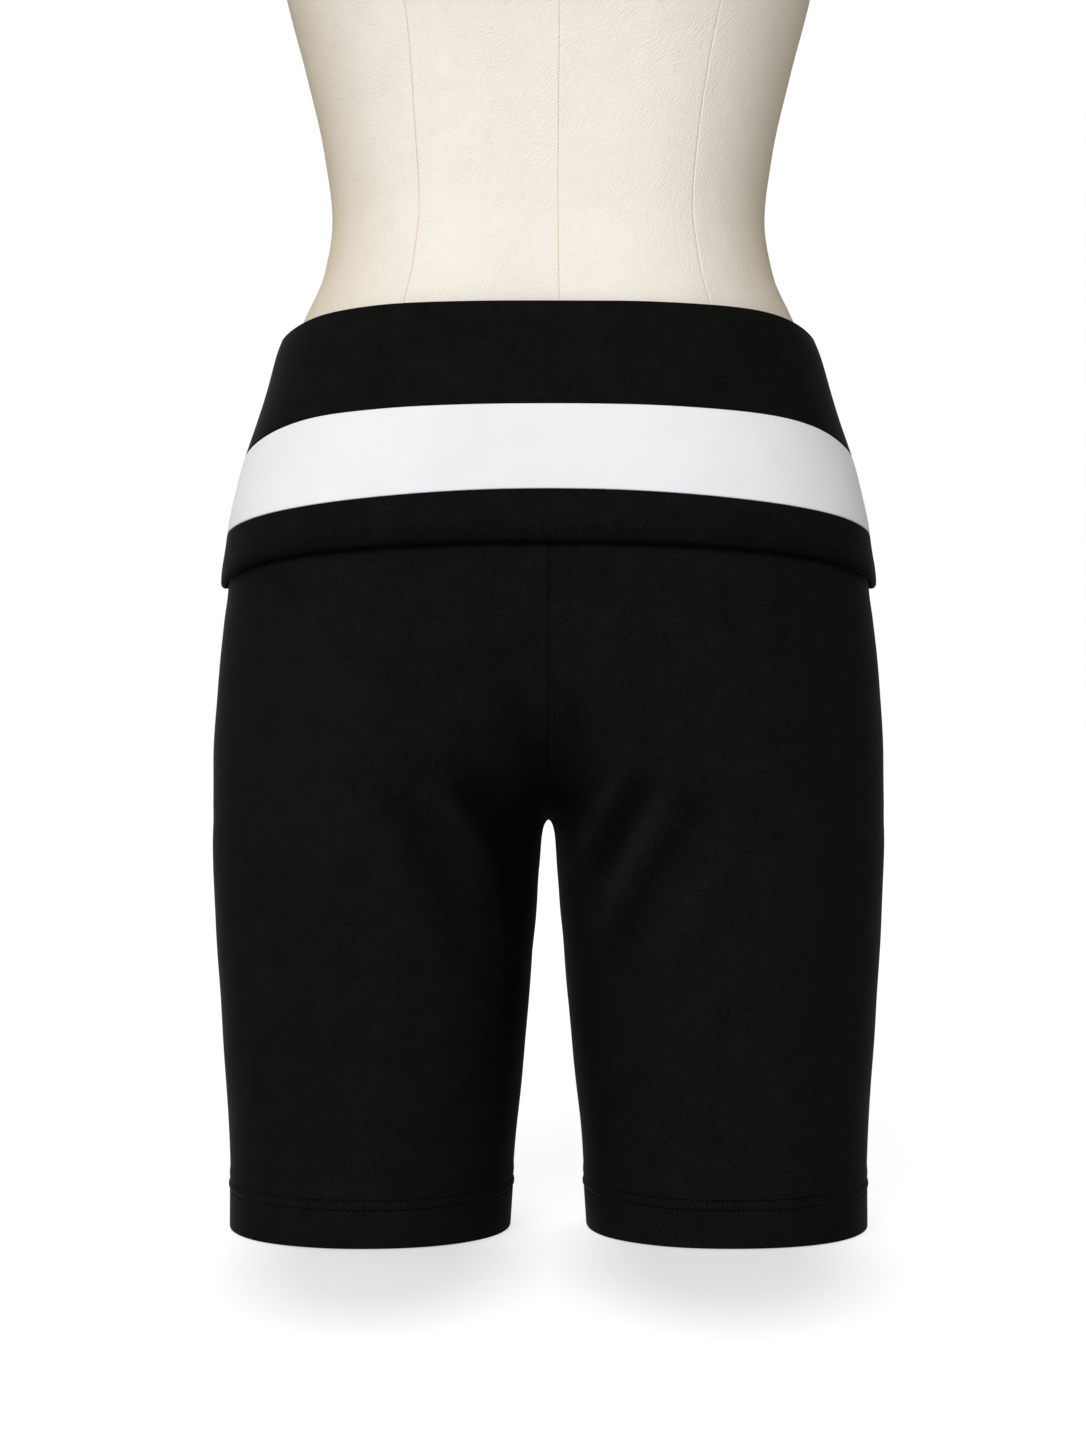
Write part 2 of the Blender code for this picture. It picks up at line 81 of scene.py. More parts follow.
# Cloth
JERSEY = 0.0011           # thickness of one layer
HEM_WALL = 0.0026         # the turned-up hem, two layers
HEM_DEPTH = 0.0280        # height of the hem allowance
FOLD_GAP = 0.0006         # air between the layers of the folded waistband
FOLD_WALL = 0.0034        # both layers and the air between them
FOLD_SWELL = 0.0018       # how far the soft fold at the top stands out
SEAM_LINE = 0.00002       # what shows between two sewn edges
SEAM_ROLL = 0.0013        # how far from its seam a sewn edge starts to roll inwards
SEAM_DEPTH = 0.0009       # how far it has rolled at the centre seams
SIDE_DEPTH = 0.0005       # and at the side seams
INSEAM_DEPTH = 0.0003     # and at the inside leg
INSIDE_TURN = 0.0200      # how far down inside the waistband shows from above
STITCH_ROWS = (0.0248, 0.0197)   # the twin needle's two rows, at the middle of a leg
ROW_RISE = 0.0024         # how much higher they are at the sides of a leg
LEG_REACH = (0.0945, 0.0760)     # a leg's middle and half its width at the hem, along X

# Dress form
FORM_CLEARANCE = 0.0022
LEG_CLEARANCE = 0.0048
FORM_SPLIT = 0.2262
NECK_BASE = 0.9800

CROTCH_BLEND = 0.0030
CROTCH_INNER = CROTCH_BLEND * math.log(2.0)

# The body surface. side, middle and inner are a leg loop's outer edge, centre and inner edge
# across X, middle_y its centre along Y, front_y and back_y its reach there.
SECTION_COLUMNS = (
    "z", "side", "middle", "inner", "middle_y", "front_y", "back_y", "squareness", "blend",
)
SECTIONS = (
    (0.0000, 0.1706, 0.0953, 0.0209, -0.003, -0.0895, 0.073, 2.15, CROTCH_BLEND),
    (0.0350, 0.1712, 0.0949, 0.0188, -0.003, -0.0905, 0.076, 2.15, CROTCH_BLEND),
    (0.0780, 0.1733, 0.0941, 0.0147, -0.003, -0.0920, 0.080, 2.15, CROTCH_BLEND),
    (0.1210, 0.1760, 0.0935, 0.0104, -0.003, -0.0930, 0.085, 2.15, CROTCH_BLEND),
    (0.1642, 0.1787, 0.0927, 0.0070, -0.002, -0.0937, 0.093, 2.15, CROTCH_BLEND),
    (0.1950, 0.1800, 0.0914, 0.0048, -0.001, -0.0940, 0.100, 2.15, CROTCH_BLEND),
    (0.2110, 0.1804, 0.0905, 0.0036, 0.000, -0.0945, 0.104, 2.15, CROTCH_BLEND),
    (CROTCH, 0.1804, 0.0900, CROTCH_INNER, 0.001, -0.0950, 0.107, 2.15, CROTCH_BLEND),
    (0.2282, 0.1806, 0.0891, -0.0040, 0.001, -0.0955, 0.111, 2.16, 0.0075),
    (0.2482, 0.1804, 0.0862, -0.0140, 0.002, -0.0965, 0.118, 2.18, 0.0165),
    (0.2882, 0.1781, 0.0765, -0.0340, 0.003, -0.0990, 0.128, 2.22, 0.0215),
    (0.3262, 0.1745, 0.0662, -0.0500, 0.003, -0.1025, 0.130, 2.25, 0.0180),
    (0.3424, 0.1723, 0.0625, -0.0545, 0.003, -0.1040, 0.128, 2.25, 0.0170),
    (0.3607, 0.1713, 0.0588, -0.0580, 0.003, -0.1055, 0.125, 2.24, 0.0165),
    (0.3737, 0.1703, 0.0566, -0.0595, 0.002, -0.1065, 0.122, 2.23, 0.0160),
    (0.3996, 0.1650, 0.0525, -0.0600, 0.001, -0.1080, 0.116, 2.20, 0.0145),
    (0.4331, 0.1543, 0.0487, -0.0570, -0.001, -0.1068, 0.106, 2.15, 0.0125),
    (0.4655, 0.1428, 0.0439, -0.0550, -0.002, -0.1035, 0.096, 2.12, 0.0115),
    (0.4880, 0.1326, 0.0398, -0.0530, -0.003, -0.0990, 0.088, 2.10, 0.0110),
    (0.5100, 0.1228, 0.0360, -0.0510, -0.004, -0.0945, 0.083, 2.10, 0.0110),
    (0.5395, 0.1182, 0.0341, -0.0500, -0.004, -0.0905, 0.081, 2.10, 0.0110),
    (0.5746, 0.1223, 0.0356, -0.0510, -0.004, -0.0925, 0.085, 2.10, 0.0115),
    (0.6178, 0.1320, 0.0390, -0.0540, -0.004, -0.0975, 0.091, 2.12, 0.0125),
    (0.6610, 0.1431, 0.0436, -0.0560, -0.005, -0.1080, 0.097, 2.15, 0.0140),
    (0.7000, 0.1500, 0.0470, -0.0550, -0.008, -0.1230, 0.100, 2.15, 0.0160),
    (0.7400, 0.1530, 0.0480, -0.0560, -0.010, -0.1300, 0.101, 2.15, 0.0180),
    (0.8000, 0.1575, 0.0443, -0.0700, -0.006, -0.1160, 0.105, 2.20, 0.0200),
    (0.8600, 0.1650, 0.0390, -0.0900, 0.000, -0.0960, 0.107, 2.25, 0.0180),
    (0.8960, 0.1690, 0.0310, -0.1100, 0.002, -0.0830, 0.100, 2.25, 0.0150),
    (0.9160, 0.1610, 0.0220, -0.1200, 0.004, -0.0730, 0.090, 2.15, 0.0120),
    (0.9320, 0.1370, 0.0130, -0.1120, 0.004, -0.0640, 0.079, 2.05, 0.0080),
    (0.9480, 0.1030, 0.0065, -0.0900, 0.003, -0.0570, 0.068, 2.00, 0.0050),
    (0.9620, 0.0750, 0.0020, -0.0710, 0.002, -0.0535, 0.060, 2.00, 0.0030),
    (NECK_BASE, 0.0590, 0.0000, -0.0590, 0.001, -0.0520, 0.055, 2.00, 0.0020),
    (FORM_TOP, 0.0560, 0.0000, -0.0560, 0.000, -0.0520, 0.053, 2.00, 0.0020),
)

# A leg panel's rows: height on its inner edge and at its side seam. They fan out from the
# crotch, as the cloth's own grain does.
FAN_POWER = 1.25
FAN_FADE = (0.30, 0.36)
PANEL_ROWS = (
    # inner            side
    (HEM_DEPTH + 0.0025, HEM_DEPTH + 0.0025),
    (0.060, 0.056),
    (0.098, 0.088),
    (0.136, 0.118),
    (0.168, 0.143),
    (0.190, 0.162),
    (0.204, 0.176),
    (0.212, 0.187),
    (0.2162, 0.196),
    (CROTCH, 0.204),
    (CROTCH + 0.0010, 0.212),
    (CROTCH + 0.0034, 0.220),
    (CROTCH + 0.0075, 0.229),
    (CROTCH + 0.0135, 0.239),
    (CROTCH + 0.0220, 0.251),
    (CROTCH + 0.0340, 0.264),
    (CROTCH + 0.0500, 0.279),
    (CROTCH + 0.0720, 0.296),
    (CROTCH + 0.0980, 0.316),
    (CROTCH + 0.1260, 0.337),
)

# Creases, each a soft trough (negative depth) or ridge through three points x, z, with x the
# distance from the centre line, then its half width and depth.
CREASES = (
    # the wide trough inside the wearer's right thigh, and what lies beside it
    ("front_right", 0.0506, 0.2439, 0.0270, 0.2140, 0.0150, 0.1600, 0.0080, -0.0028),
    ("front_right", 0.0582, 0.2363, 0.0352, 0.2056, 0.0224, 0.1749, 0.0045, 0.0012),
    ("front_right", 0.0838, 0.2439, 0.0633, 0.2005, 0.0365, 0.1340, 0.0085, -0.0010),
    ("front_right", 0.0940, 0.2209, 0.0736, 0.1902, 0.0506, 0.1442, 0.0070, 0.0004),
    ("front_right", 0.0150, 0.2780, 0.0080, 0.2580, 0.0040, 0.2370, 0.0080, -0.0010),
    # the sharper folds at the wearer's left thigh
    ("front_left", 0.0377, 0.2439, 0.0236, 0.2196, 0.0100, 0.1830, 0.0032, 0.0013),
    ("front_left", 0.0500, 0.2450, 0.0364, 0.2184, 0.0150, 0.1840, 0.0055, -0.0021),
    ("front_left", 0.0594, 0.2311, 0.0415, 0.2005, 0.0223, 0.1544, 0.0045, 0.0014),
    ("front_left", 0.0790, 0.2370, 0.0568, 0.1979, 0.0250, 0.1380, 0.0058, -0.0016),
    ("front_left", 0.0952, 0.2158, 0.0747, 0.1800, 0.0517, 0.1391, 0.0070, 0.0003),
    ("front_left", 0.0965, 0.1902, 0.0850, 0.1621, 0.0798, 0.1416, 0.0060, -0.0006),
    ("front_left", 0.0108, 0.2797, 0.0085, 0.2600, 0.0070, 0.2414, 0.0060, -0.0007),
    # under the seat, on the right and on the left
    ("back_right", 0.0150, 0.1880, 0.0412, 0.2113, 0.0720, 0.2280, 0.0075, -0.0026),
    ("back_right", 0.0140, 0.1640, 0.0362, 0.1844, 0.0620, 0.2000, 0.0080, 0.0014),
    ("back_right", 0.0160, 0.1450, 0.0342, 0.1629, 0.0560, 0.1760, 0.0060, -0.0013),
    ("back_right", 0.0700, 0.2060, 0.0947, 0.2188, 0.1220, 0.2240, 0.0100, -0.0010),
    ("back_left", 0.0170, 0.1920, 0.0399, 0.2175, 0.0680, 0.2370, 0.0070, -0.0024),
    ("back_left", 0.0160, 0.1700, 0.0439, 0.1924, 0.0760, 0.2080, 0.0080, 0.0014),
    ("back_left", 0.0180, 0.1560, 0.0404, 0.1731, 0.0660, 0.1850, 0.0055, -0.0014),
    ("back_left", 0.0180, 0.1300, 0.0306, 0.1445, 0.0460, 0.1560, 0.0070, 0.0008),
)
# What lies in shade, or in light, without being folded: as above, with the depth of a fold
# that would be as dark.
SHADOWS = (
    ("front_right", 0.0110, 0.2000, 0.0150, 0.1500, 0.0210, 0.0300, 0.0075, -0.0015),
    ("front_right", 0.0300, 0.1300, 0.0330, 0.1000, 0.0340, 0.0700, 0.0120, -0.0004),
    ("front_left", 0.0090, 0.1950, 0.0110, 0.1600, 0.0150, 0.1200, 0.0030, 0.0005),
    ("front_right", 0.1250, 0.3400, 0.1300, 0.2700, 0.1300, 0.2000, 0.0300, 0.0005),
    ("front_left", 0.0250, 0.3300, 0.0240, 0.2900, 0.0230, 0.2600, 0.0060, 0.0003),
)
CREASE_MIDDLE = 0.47      # where along its run a crease is deepest
CREASE_REACH = 0.46       # share of its run over which it fades out
DEEPEST = 0.0029          # the deepest that cloth sinks before it touches the form
DARK_TROUGH = 0.0038      # the depth of a trough that is quite dark
LIT_RIDGE = 0.0024        # the height of a ridge that is lit as much
PUCKER = 0.0087           # from one pucker of a seam to the next

# Slow unevenness of worn cloth: wavelengths in metres along a direction
WAVES = (
    # x    y     z    phase  height
    (9.0, 3.0, 5.0, 0.4, 0.00016),
    (-6.0, 8.0, 11.0, 1.9, 0.00014),
    (17.0, -5.0, 3.0, 3.3, 0.00010),
    (3.0, 12.0, -19.0, 5.1, 0.00009),
    (-23.0, 9.0, 14.0, 2.6, 0.00005),
)

# The folded layer's lower strip: share of the way down, then how far its outer and inner
# faces lie outside the body surface. Its lower edge is rounded.
FLAP_PROFILE = (
    # down  outer   inner
    (0.00, 0.00200, 0.00090),
    (0.20, 0.00225, 0.00090),
    (0.45, 0.00290, 0.00090),
    (0.68, 0.00370, 0.00090),
    (0.86, 0.00405, 0.00100),
    (1.00, 0.00400, 0.00110),
)

# How deep in shade the lower strip lies, by the share of the way down
STRIP_SHADE = ((0.0, 0.05, 0.60, 0.92, 1.0), (0.3, 0.0, 0.10, 0.4, 1.2))

TUBE_STEP = 0.018         # longest step between a band's columns, in quarter turns
BAND_WAVES = 1.2          # how uneven the bands are, against the panels
BAND_ROLL = (0.0010, 0.0006)     # from where and how far the bands' sewn edges roll in
SWELL_REACH = 0.014       # how far down the fold's swelling reaches
PALE_OFFSET = 0.0014      # how far the pale band lies outside the air under it

# The form's seams, in quarter turns from the centre front towards +X. The form stands
# turned a little against the shorts.
FORM_TURN = 0.025
PRINCESS_SEAMS = (
    # height, left, right
    (FORM_SPLIT, 0.560, 0.560), (0.380, 0.500, 0.500), (0.440, 0.435, 0.440),
    (0.4865, 0.415, 0.418), (0.515, 0.4195, 0.4205), (0.546, 0.4220, 0.4230),
    (0.582, 0.4265, 0.4210), (0.606, 0.4300, 0.4140), (0.640, 0.4330, 0.4040),
    (0.740, 0.445, 0.415), (0.820, 0.460, 0.440), (0.900, 0.475, 0.470),
    (0.935, 0.500, 0.500), (NECK_BASE, 0.540, 0.540), (FORM_TOP, 0.560, 0.560),
)
FORM_STEP = 0.030         # longest step between the torso's columns, in quarter turns
NECK_RIM = 0.0035         # radius of the neck's rounded edge
SOLE_EDGE = 0.0025        # radius of the soles' rounded edge
BOARD_STEP = (0.0004, -0.0008)   # width and depth of the step down to a board
FORM_SEAM_WIDTH = 0.0005
FORM_SEAM_DEPTH = 0.00024
FORM_SEAM_RIDGE = 0.00014


# ---------------------------------------------------------------- the body surface

def monotone_curve(stations, values):
    """A smooth curve through a table's values that never overshoots them."""
    stations, values = np.asarray(stations, float), np.asarray(values, float)
    spans = np.diff(stations)
    slopes = np.diff(values) / spans
    tangents = np.zeros(len(values))
    for i in range(1, len(values) - 1):
        before, after = slopes[i - 1], slopes[i]
        if before * after > 0.0:
            first = 2.0 * spans[i] + spans[i - 1]
            second = spans[i] + 2.0 * spans[i - 1]
            tangents[i] = (first + second) / (first / before + second / after)
    tangents[0], tangents[-1] = slopes[0], slopes[-1]

    def curve(at):
        at = np.clip(at, stations[0], stations[-1])
        i = np.clip(np.searchsorted(stations, at, side="right") - 1, 0, len(spans) - 1)
        span = spans[i]
        t = (at - stations[i]) / span
        start = (1.0 + 2.0 * t) * (1.0 - t) ** 2 * values[i]
        start = start + t * (1.0 - t) ** 2 * span * tangents[i]
        end = t * t * (3.0 - 2.0 * t) * values[i + 1] + t * t * (t - 1.0) * span * tangents[i + 1]
        return start + end

    return curve


FULL_REACH = 0.30
SECTION_TABLE = np.array(SECTIONS)
SECTION_CURVES = {
    name: monotone_curve(SECTION_TABLE[:, 0], SECTION_TABLE[:, column])
    for column, name in enumerate(SECTION_COLUMNS)
    if name != "z"
}


def section_at(z):
    """The values of the section table at the heights z."""
    return {name: curve(z) for name, curve in SECTION_CURVES.items()}


def loop_distance(x, y, section):
    """About how far points lie outside the leg loop on +X, negative inside it."""
    outer = section["side"] - section["middle"]
    inner = section["middle"] - section["inner"]
    front = section["middle_y"] - section["front_y"]
    back = section["back_y"] - section["middle_y"]
    width = np.where(x > section["middle"], outer, inner)
    depth = np.where(y < section["middle_y"], front, back)
    power = section["squareness"]
    across = np.abs((x - section["middle"]) / width) ** power
    along = np.abs((y - section["middle_y"]) / depth) ** power
    radius = (across + along) ** (1.0 / power)
    return (radius - 1.0) * np.minimum(np.minimum(outer, inner), np.minimum(front, back))


def body_distance(x, y, z, section=None):
    """About how far points lie outside the body surface, negative inside it."""
    section = section_at(z) if section is None else section
    left = loop_distance(x, y, section)
    right = loop_distance(-x, y, section)
    blend = section["blend"]
    return np.minimum(left, right) - blend * np.log1p(np.exp(-np.abs(left - right) / blend))


def bisect(inside, low, high):
    """Where the test stops being true, between low and high."""
    for _ in range(40):
        middle = (low + high) / 2.0
        within = inside(middle)
        low = np.where(within, middle, low)
        high = np.where(within, high, middle)
    return (low + high) / 2.0


def start_angle(z, half, clearance=0.0):
    """Where a section begins, as an angle round the +X loop's centre from its side point.

    It begins on the centre line where the legs are joined, and at the inside leg below.
    half is -1 for the front and 1 for the back.
    """
    z = np.asarray(z, float)
    section = section_at(z)
    centre_x, centre_y = section["middle"], section["middle_y"]
    on_centre = bisect(
        lambda r: body_distance(0.0 * z, centre_y + half * r, z, section) < -clearance,
        0.0 * z, np.full(z.shape, FULL_REACH),
    )
    joined = body_distance(0.0 * z, centre_y, z, section) < -clearance
    return np.where(joined, np.arctan2(on_centre, -centre_x), math.pi)


def surface_points(angle, z, half, clearance=0.0):
    """Points of the body surface at an angle round the +X loop's centre and a height."""
    angle, z, half, clearance = np.broadcast_arrays(angle, z, half, clearance)
    section = section_at(z)
    centre_x, centre_y = section["middle"], section["middle_y"]
    along_x, along_y = np.cos(angle), half * np.sin(angle)
    to_centre_line = centre_x / np.maximum(-along_x, 1e-9)
    limit = np.where(along_x < 0.0, np.minimum(FULL_REACH, to_centre_line), FULL_REACH)
    radius = bisect(
        lambda r: body_distance(
            centre_x + r * along_x, centre_y + r * along_y, z, section
        ) < -clearance,
        0.0 * z, limit,
    )
    return np.stack([centre_x + radius * along_x, centre_y + radius * along_y, z], axis=-1)


def surface_normals(points, step=0.0002):
    """Outward unit normals of the body surface at some points."""
    x, y, z = points[..., 0], points[..., 1], points[..., 2]
    gradient = np.stack([
        body_distance(x + step, y, z) - body_distance(x - step, y, z),
        body_distance(x, y + step, z) - body_distance(x, y - step, z),
        body_distance(x, y, z + step) - body_distance(x, y, z - step),
    ], axis=-1)
    return gradient / np.linalg.norm(gradient, axis=-1, keepdims=True)


def edge_swing(share):
    """How much of its drop a panel's upper row has made, a share of the way to the side."""
    return np.sin(math.pi / 2.0 * np.asarray(share)) ** SWING_POWER


def dropped(height, drop, share):
    """A waistband line's height, a share of the way from the centre line to the side seam."""
    reach = np.sin(math.pi / 2.0 * np.asarray(share))
    return height - sum(part * reach ** power for part, power in zip(drop, DROP_POWERS))


def waist_seam(share):
    """Height of the hidden seam between the leg panels and the waistband."""
    return dropped(FLAP_EDGE + WAIST_SEAM_RISE, FLAP_EDGE_DROP, share)


def quarter_share(turns):
    """Quarter turns from the centre front as a share of the way to the side, and a half."""
    quarter = np.minimum(np.asarray(turns).astype(int), 3)
    share = np.where(quarter % 2 == 0, turns - quarter, quarter + 1 - turns)
    half = np.where((quarter == 0) | (quarter == 3), -1.0, 1.0)
    side = np.where(quarter < 2, 1.0, -1.0)
    return share, half, side


def start_angles(z, half, clearance=0.0):
    """Where sections begin, each for the half that its points lie in."""
    return np.where(half < 0.0, start_angle(z, -1.0, clearance), start_angle(z, 1.0, clearance))


def body_points(turns, z, clearance=0.0, z_start=None):
    """Points all round the body at quarter turns and heights z, and their outward normals.

    The beginning of each row is found at z_start, where that is another height than z.
    """
    share, half, side = quarter_share(turns)
    start = start_angles(z if z_start is None else z_start, half, clearance)
    points = surface_points(start * (1.0 - share), z, half, clearance)
    points[..., 0] *= side
    return points, surface_normals(points)


def rounded_in(past, radius):
    """How far a rounded edge has drawn in, at a distance past the point where it starts."""
    return radius - np.sqrt(np.clip(radius ** 2 - past.clip(0.0) ** 2, 0.0, None))


# ---------------------------------------------------------------- relief of the cloth

def spread(values, longest):
    """The values with evenly spaced ones between them, so that no step is longer."""
    values = np.asarray(values, float)
    pieces = [
        np.linspace(a, b, max(1, math.ceil(abs(b - a) / longest - 1e-9)) + 1)[:-1]
        for a, b in zip(values[:-1], values[1:])
    ]
    return np.concatenate(pieces + [values[-1:]])


def bump(distance, width):
    """A soft bump of height 1 about the places where a distance is 0."""
    return np.exp(-0.5 * (distance / width) ** 2)


def soft_waves(points, strength=1.0):
    """The slow unevenness of cloth on a body, in metres along its normal."""
    relief = np.zeros(points.shape[:-1])
    for *turns, phase, height in WAVES:
        relief += height * np.sin(2.0 * math.pi * (points @ np.array(turns)) + phase)
    return strength * relief


def crease_relief(points, panel, table):
    """How far a panel's cloth stands out of the body surface in a table's ridges and troughs."""
    relief = np.zeros(points.shape[:-1])
    for owner, x0, z0, x1, z1, x2, z2, half_width, depth in table:
        if owner != panel:
            continue
        nearest, share = np.full(relief.shape, np.inf), np.zeros(relief.shape)
        for t in np.linspace(0.0, 1.0, 121):
            first, third = (2.0 * t - 1.0) * (t - 1.0), t * (2.0 * t - 1.0)
            second = 4.0 * t * (1.0 - t)
            x = first * x0 + second * x1 + third * x2
            z = first * z0 + second * z1 + third * z2
            away = np.hypot(points[..., 0] - x, points[..., 2] - z)
            share, nearest = np.where(away < nearest, t, share), np.minimum(away, nearest)
        fade = np.exp(-((share - CREASE_MIDDLE) / CREASE_REACH) ** 4)
        relief += depth * fade * bump(nearest, half_width)
    return relief


def shaded_places(points, creases, share):
    """How deep in shade each point of a panel lies: 1 in a fold, below 0 on a ridge."""
    x, z = points[..., 0], points[..., 2]
    # Painted shade: the crotch, the line under the lower strip, the stitch grooves and the troughs
    # are darkened in the cloth's colour, and the ridges lightened.
    crotch = 0.8 * np.exp(-(x / 0.014) ** 2 - ((z - CROTCH - 0.006) / 0.014) ** 2)
    crotch += 0.30 * np.exp(-(x / 0.030) ** 2 - ((z - CROTCH - 0.018) / 0.034) ** 2)
    below_strip = dropped(FLAP_EDGE, FLAP_EDGE_DROP, share) - z
    under_strip = np.exp(-(below_strip.clip(0.0) / 0.0020) ** 2)
    above = z - row_rise(points) - 0.0004
    grooves = sum(bump(above - row, 0.00045) for row in STITCH_ROWS)
    folds = -creases / np.where(creases < 0.0, DARK_TROUGH, LIT_RIDGE)
    return folds + crotch + 1.2 * under_strip + 0.6 * grooves


def seam_roll(distance, along, roll=SEAM_ROLL, depth=SEAM_DEPTH):
    """How far the outer face has rolled inwards at a distance from a sewn edge."""
    near = np.clip(1.0 - distance / roll, 0.0, 1.0)
    pucker = 1.0 + 0.10 * np.sin(2.0 * math.pi * along / PUCKER)
    return -depth * pucker * (1.0 - np.sqrt(1.0 - near ** 2))


def side_mirror(side_name):
    """What turns points of the wearer's left side into points of the named one."""
    return np.array([1.0 if side_name == "left" else -1.0, 1.0, 1.0])


def row_rise(points):
    """How much higher the hem's stitched rows are here than at the middle of the leg."""
    middle, half = LEG_REACH
    return ROW_RISE * (np.abs(np.abs(points[..., 0]) - middle) / half).clip(0.0, 1.0) ** 3


def hem_relief(z):
    """The doubled hem's step, and the two stitched rows with the ridge between them."""
    upper, lower = STITCH_ROWS
    doubled = 0.00045 / (1.0 + np.exp((z - upper - 0.0012) / 0.0005))
    pulled_in = sum(0.00065 * bump(z - row, 0.00048) for row in STITCH_ROWS)
    ridge = 0.00050 * bump(z - (upper + lower) / 2.0, 0.0015)
    swell = 0.00040 * bump(z - upper - 0.0036, 0.0016)
    return doubled - pulled_in + ridge + swell


def lengths_along(points, axis):
    """Distance run along an axis of a grid of points, from its first row or column."""
    steps = np.linalg.norm(np.diff(points, axis=axis), axis=-1)
    first = np.zeros_like(np.take(steps, [0], axis=axis))
    return np.concatenate([first, np.cumsum(steps, axis=axis)], axis=axis)


def lengths_round(skin):
    """Distance run round a tube's rows from its first column, and each row's girth."""
    around = lengths_along(np.concatenate([skin, skin[:, :1]], axis=1), 1)
    return around[:, :-1], around[:, -1:]


# ---------------------------------------------------------------- meshes and pieces

def turn_outwards(mesh):
    """Point all the faces of a closed mesh out of its material."""
    bmesh.ops.recalc_face_normals(mesh, faces=mesh.faces)
    if mesh.calc_volume(signed=True) < 0.0:
        bmesh.ops.reverse_faces(mesh, faces=mesh.faces)


def grid_mesh(rows, columns, closed):
    """A bmesh grid, or a tube where it is closed, and each vertex's row and column."""
    mesh = bmesh.new()
    index = mesh.verts.layers.float_vector.new("grid_index")
    bmesh.ops.create_grid(mesh, x_segments=columns, y_segments=rows, size=0.5)
    for vertex in mesh.verts:
        column = round((vertex.co.x + 0.5) * columns)
        row = round((vertex.co.y + 0.5) * rows)
        vertex[index] = (column % columns if closed else column, row, 0.0)
    if closed:
        for vertex in mesh.verts:
            turn = 2.0 * math.pi * vertex[index].x / columns
            vertex.co = (math.cos(turn), math.sin(turn), vertex[index].y)
        bmesh.ops.remove_doubles(mesh, verts=mesh.verts, dist=1e-5)
    return mesh, index


def place_vertices(mesh, points):
    """Move a bmesh's vertices to an array of points, in the order of its vertices."""
    for vertex, point in zip(mesh.verts, points):
        vertex.co = point


def take_index(mesh, index):
    """Each vertex's row, column and face in its grid, whose layer is then removed."""
    column, row, face = np.array([v[index][:] for v in mesh.verts]).round().astype(int).T
    mesh.verts.layers.float_vector.remove(index)
    return row, column, face


def cloth_wall(outer, inner, closed):
    """A closed wall of cloth between two grids of points, [row, column, xyz].

    Returns the bmesh, and each vertex's row and column in the grids.
    """
    rows, columns = outer.shape[0] - 1, outer.shape[1] - (0 if closed else 1)
    mesh, index = grid_mesh(rows, columns, closed)
    wall = bmesh.ops.extrude_face_region(mesh, geom=mesh.faces[:], use_keep_orig=True)
    for element in wall["geom"]:
        if isinstance(element, bmesh.types.BMVert):
            element[index].z = 1.0
    row, column, face = take_index(mesh, index)
    place_vertices(mesh, np.where((face == 0)[:, None], outer[row, column], inner[row, column]))
    turn_outwards(mesh)
    return mesh, row, column


def make_piece(name, mesh, material):
    """Put a finished bmesh in the scene as one piece that rides on the frame."""
    data = bpy.data.meshes.new(name)
    mesh.to_mesh(data)
    mesh.free()
    data.materials.append(material)
    data.shade_smooth()
    data.set_sharp_from_angle(angle=math.radians(50.0))
    piece = bpy.data.objects.new(name, data)
    bpy.context.scene.collection.objects.link(piece)
    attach(piece, "root")
    return piece


def sewn_line(line, outward, pitch):
    """The middles of evenly spaced stitches along a line, and their directions.

    The directions come as unit vectors outward, sideways and along the line.
    """
    run = lengths_along(line, 0)
    count = round(run[-1] / pitch)
    at = (np.arange(count) + 0.5) / count * run[-1]

    def picked(values, where):
        return np.stack([np.interp(where, run, values[:, k]) for k in range(3)], axis=-1)

    def unit(vectors):
        return vectors / np.linalg.norm(vectors, axis=-1, keepdims=True)

    middle = picked(line, at)
    along = unit(picked(line, at + pitch / 8.0) - picked(line, at - pitch / 8.0))
    sideways = unit(np.cross(along, picked(outward, at)))
    return middle, np.cross(sideways, along), sideways, along


def stitch_piece(name, rows, half_sizes, material):
    """One piece of many stitches, each a small plump grain of thread.

    half_sizes are a grain's half height, half width and half length.
    """
    middle, *directions = (np.concatenate(parts) for parts in zip(*rows))
    mesh = bmesh.new()
    bmesh.ops.create_uvsphere(mesh, u_segments=6, v_segments=5, radius=1.0)
    place, grain = (mesh.verts.layers.int.new(layer) for layer in ("place", "grain"))
    ball = np.array([vertex.co[:] for vertex in mesh.verts])
    for number, vertex in enumerate(mesh.verts):
        vertex[place] = number
    made = 1
    while made < len(middle):
        more = min(made, len(middle) - made)
        again = [vertex for vertex in mesh.verts if vertex[grain] < more]
        for parts in (mesh.edges, mesh.faces):
            again += [part for part in parts if part.verts[0][grain] < more]
        for part in bmesh.ops.duplicate(mesh, geom=again)["geom"]:
            if isinstance(part, bmesh.types.BMVert):
                part[grain] += made
        made += more
    places, grains = np.array([(v[place], v[grain]) for v in mesh.verts]).T
    points = middle[:, None, :]
    for axis, (half_size, direction) in enumerate(zip(half_sizes, directions)):
        points = points + ball[:, axis, None] * half_size * direction[:, None, :]
    place_vertices(mesh, points[grains, places])
    for layer in ("place", "grain"):
        mesh.verts.layers.int.remove(mesh.verts.layers.int[layer])
    return make_piece(name, mesh, material)


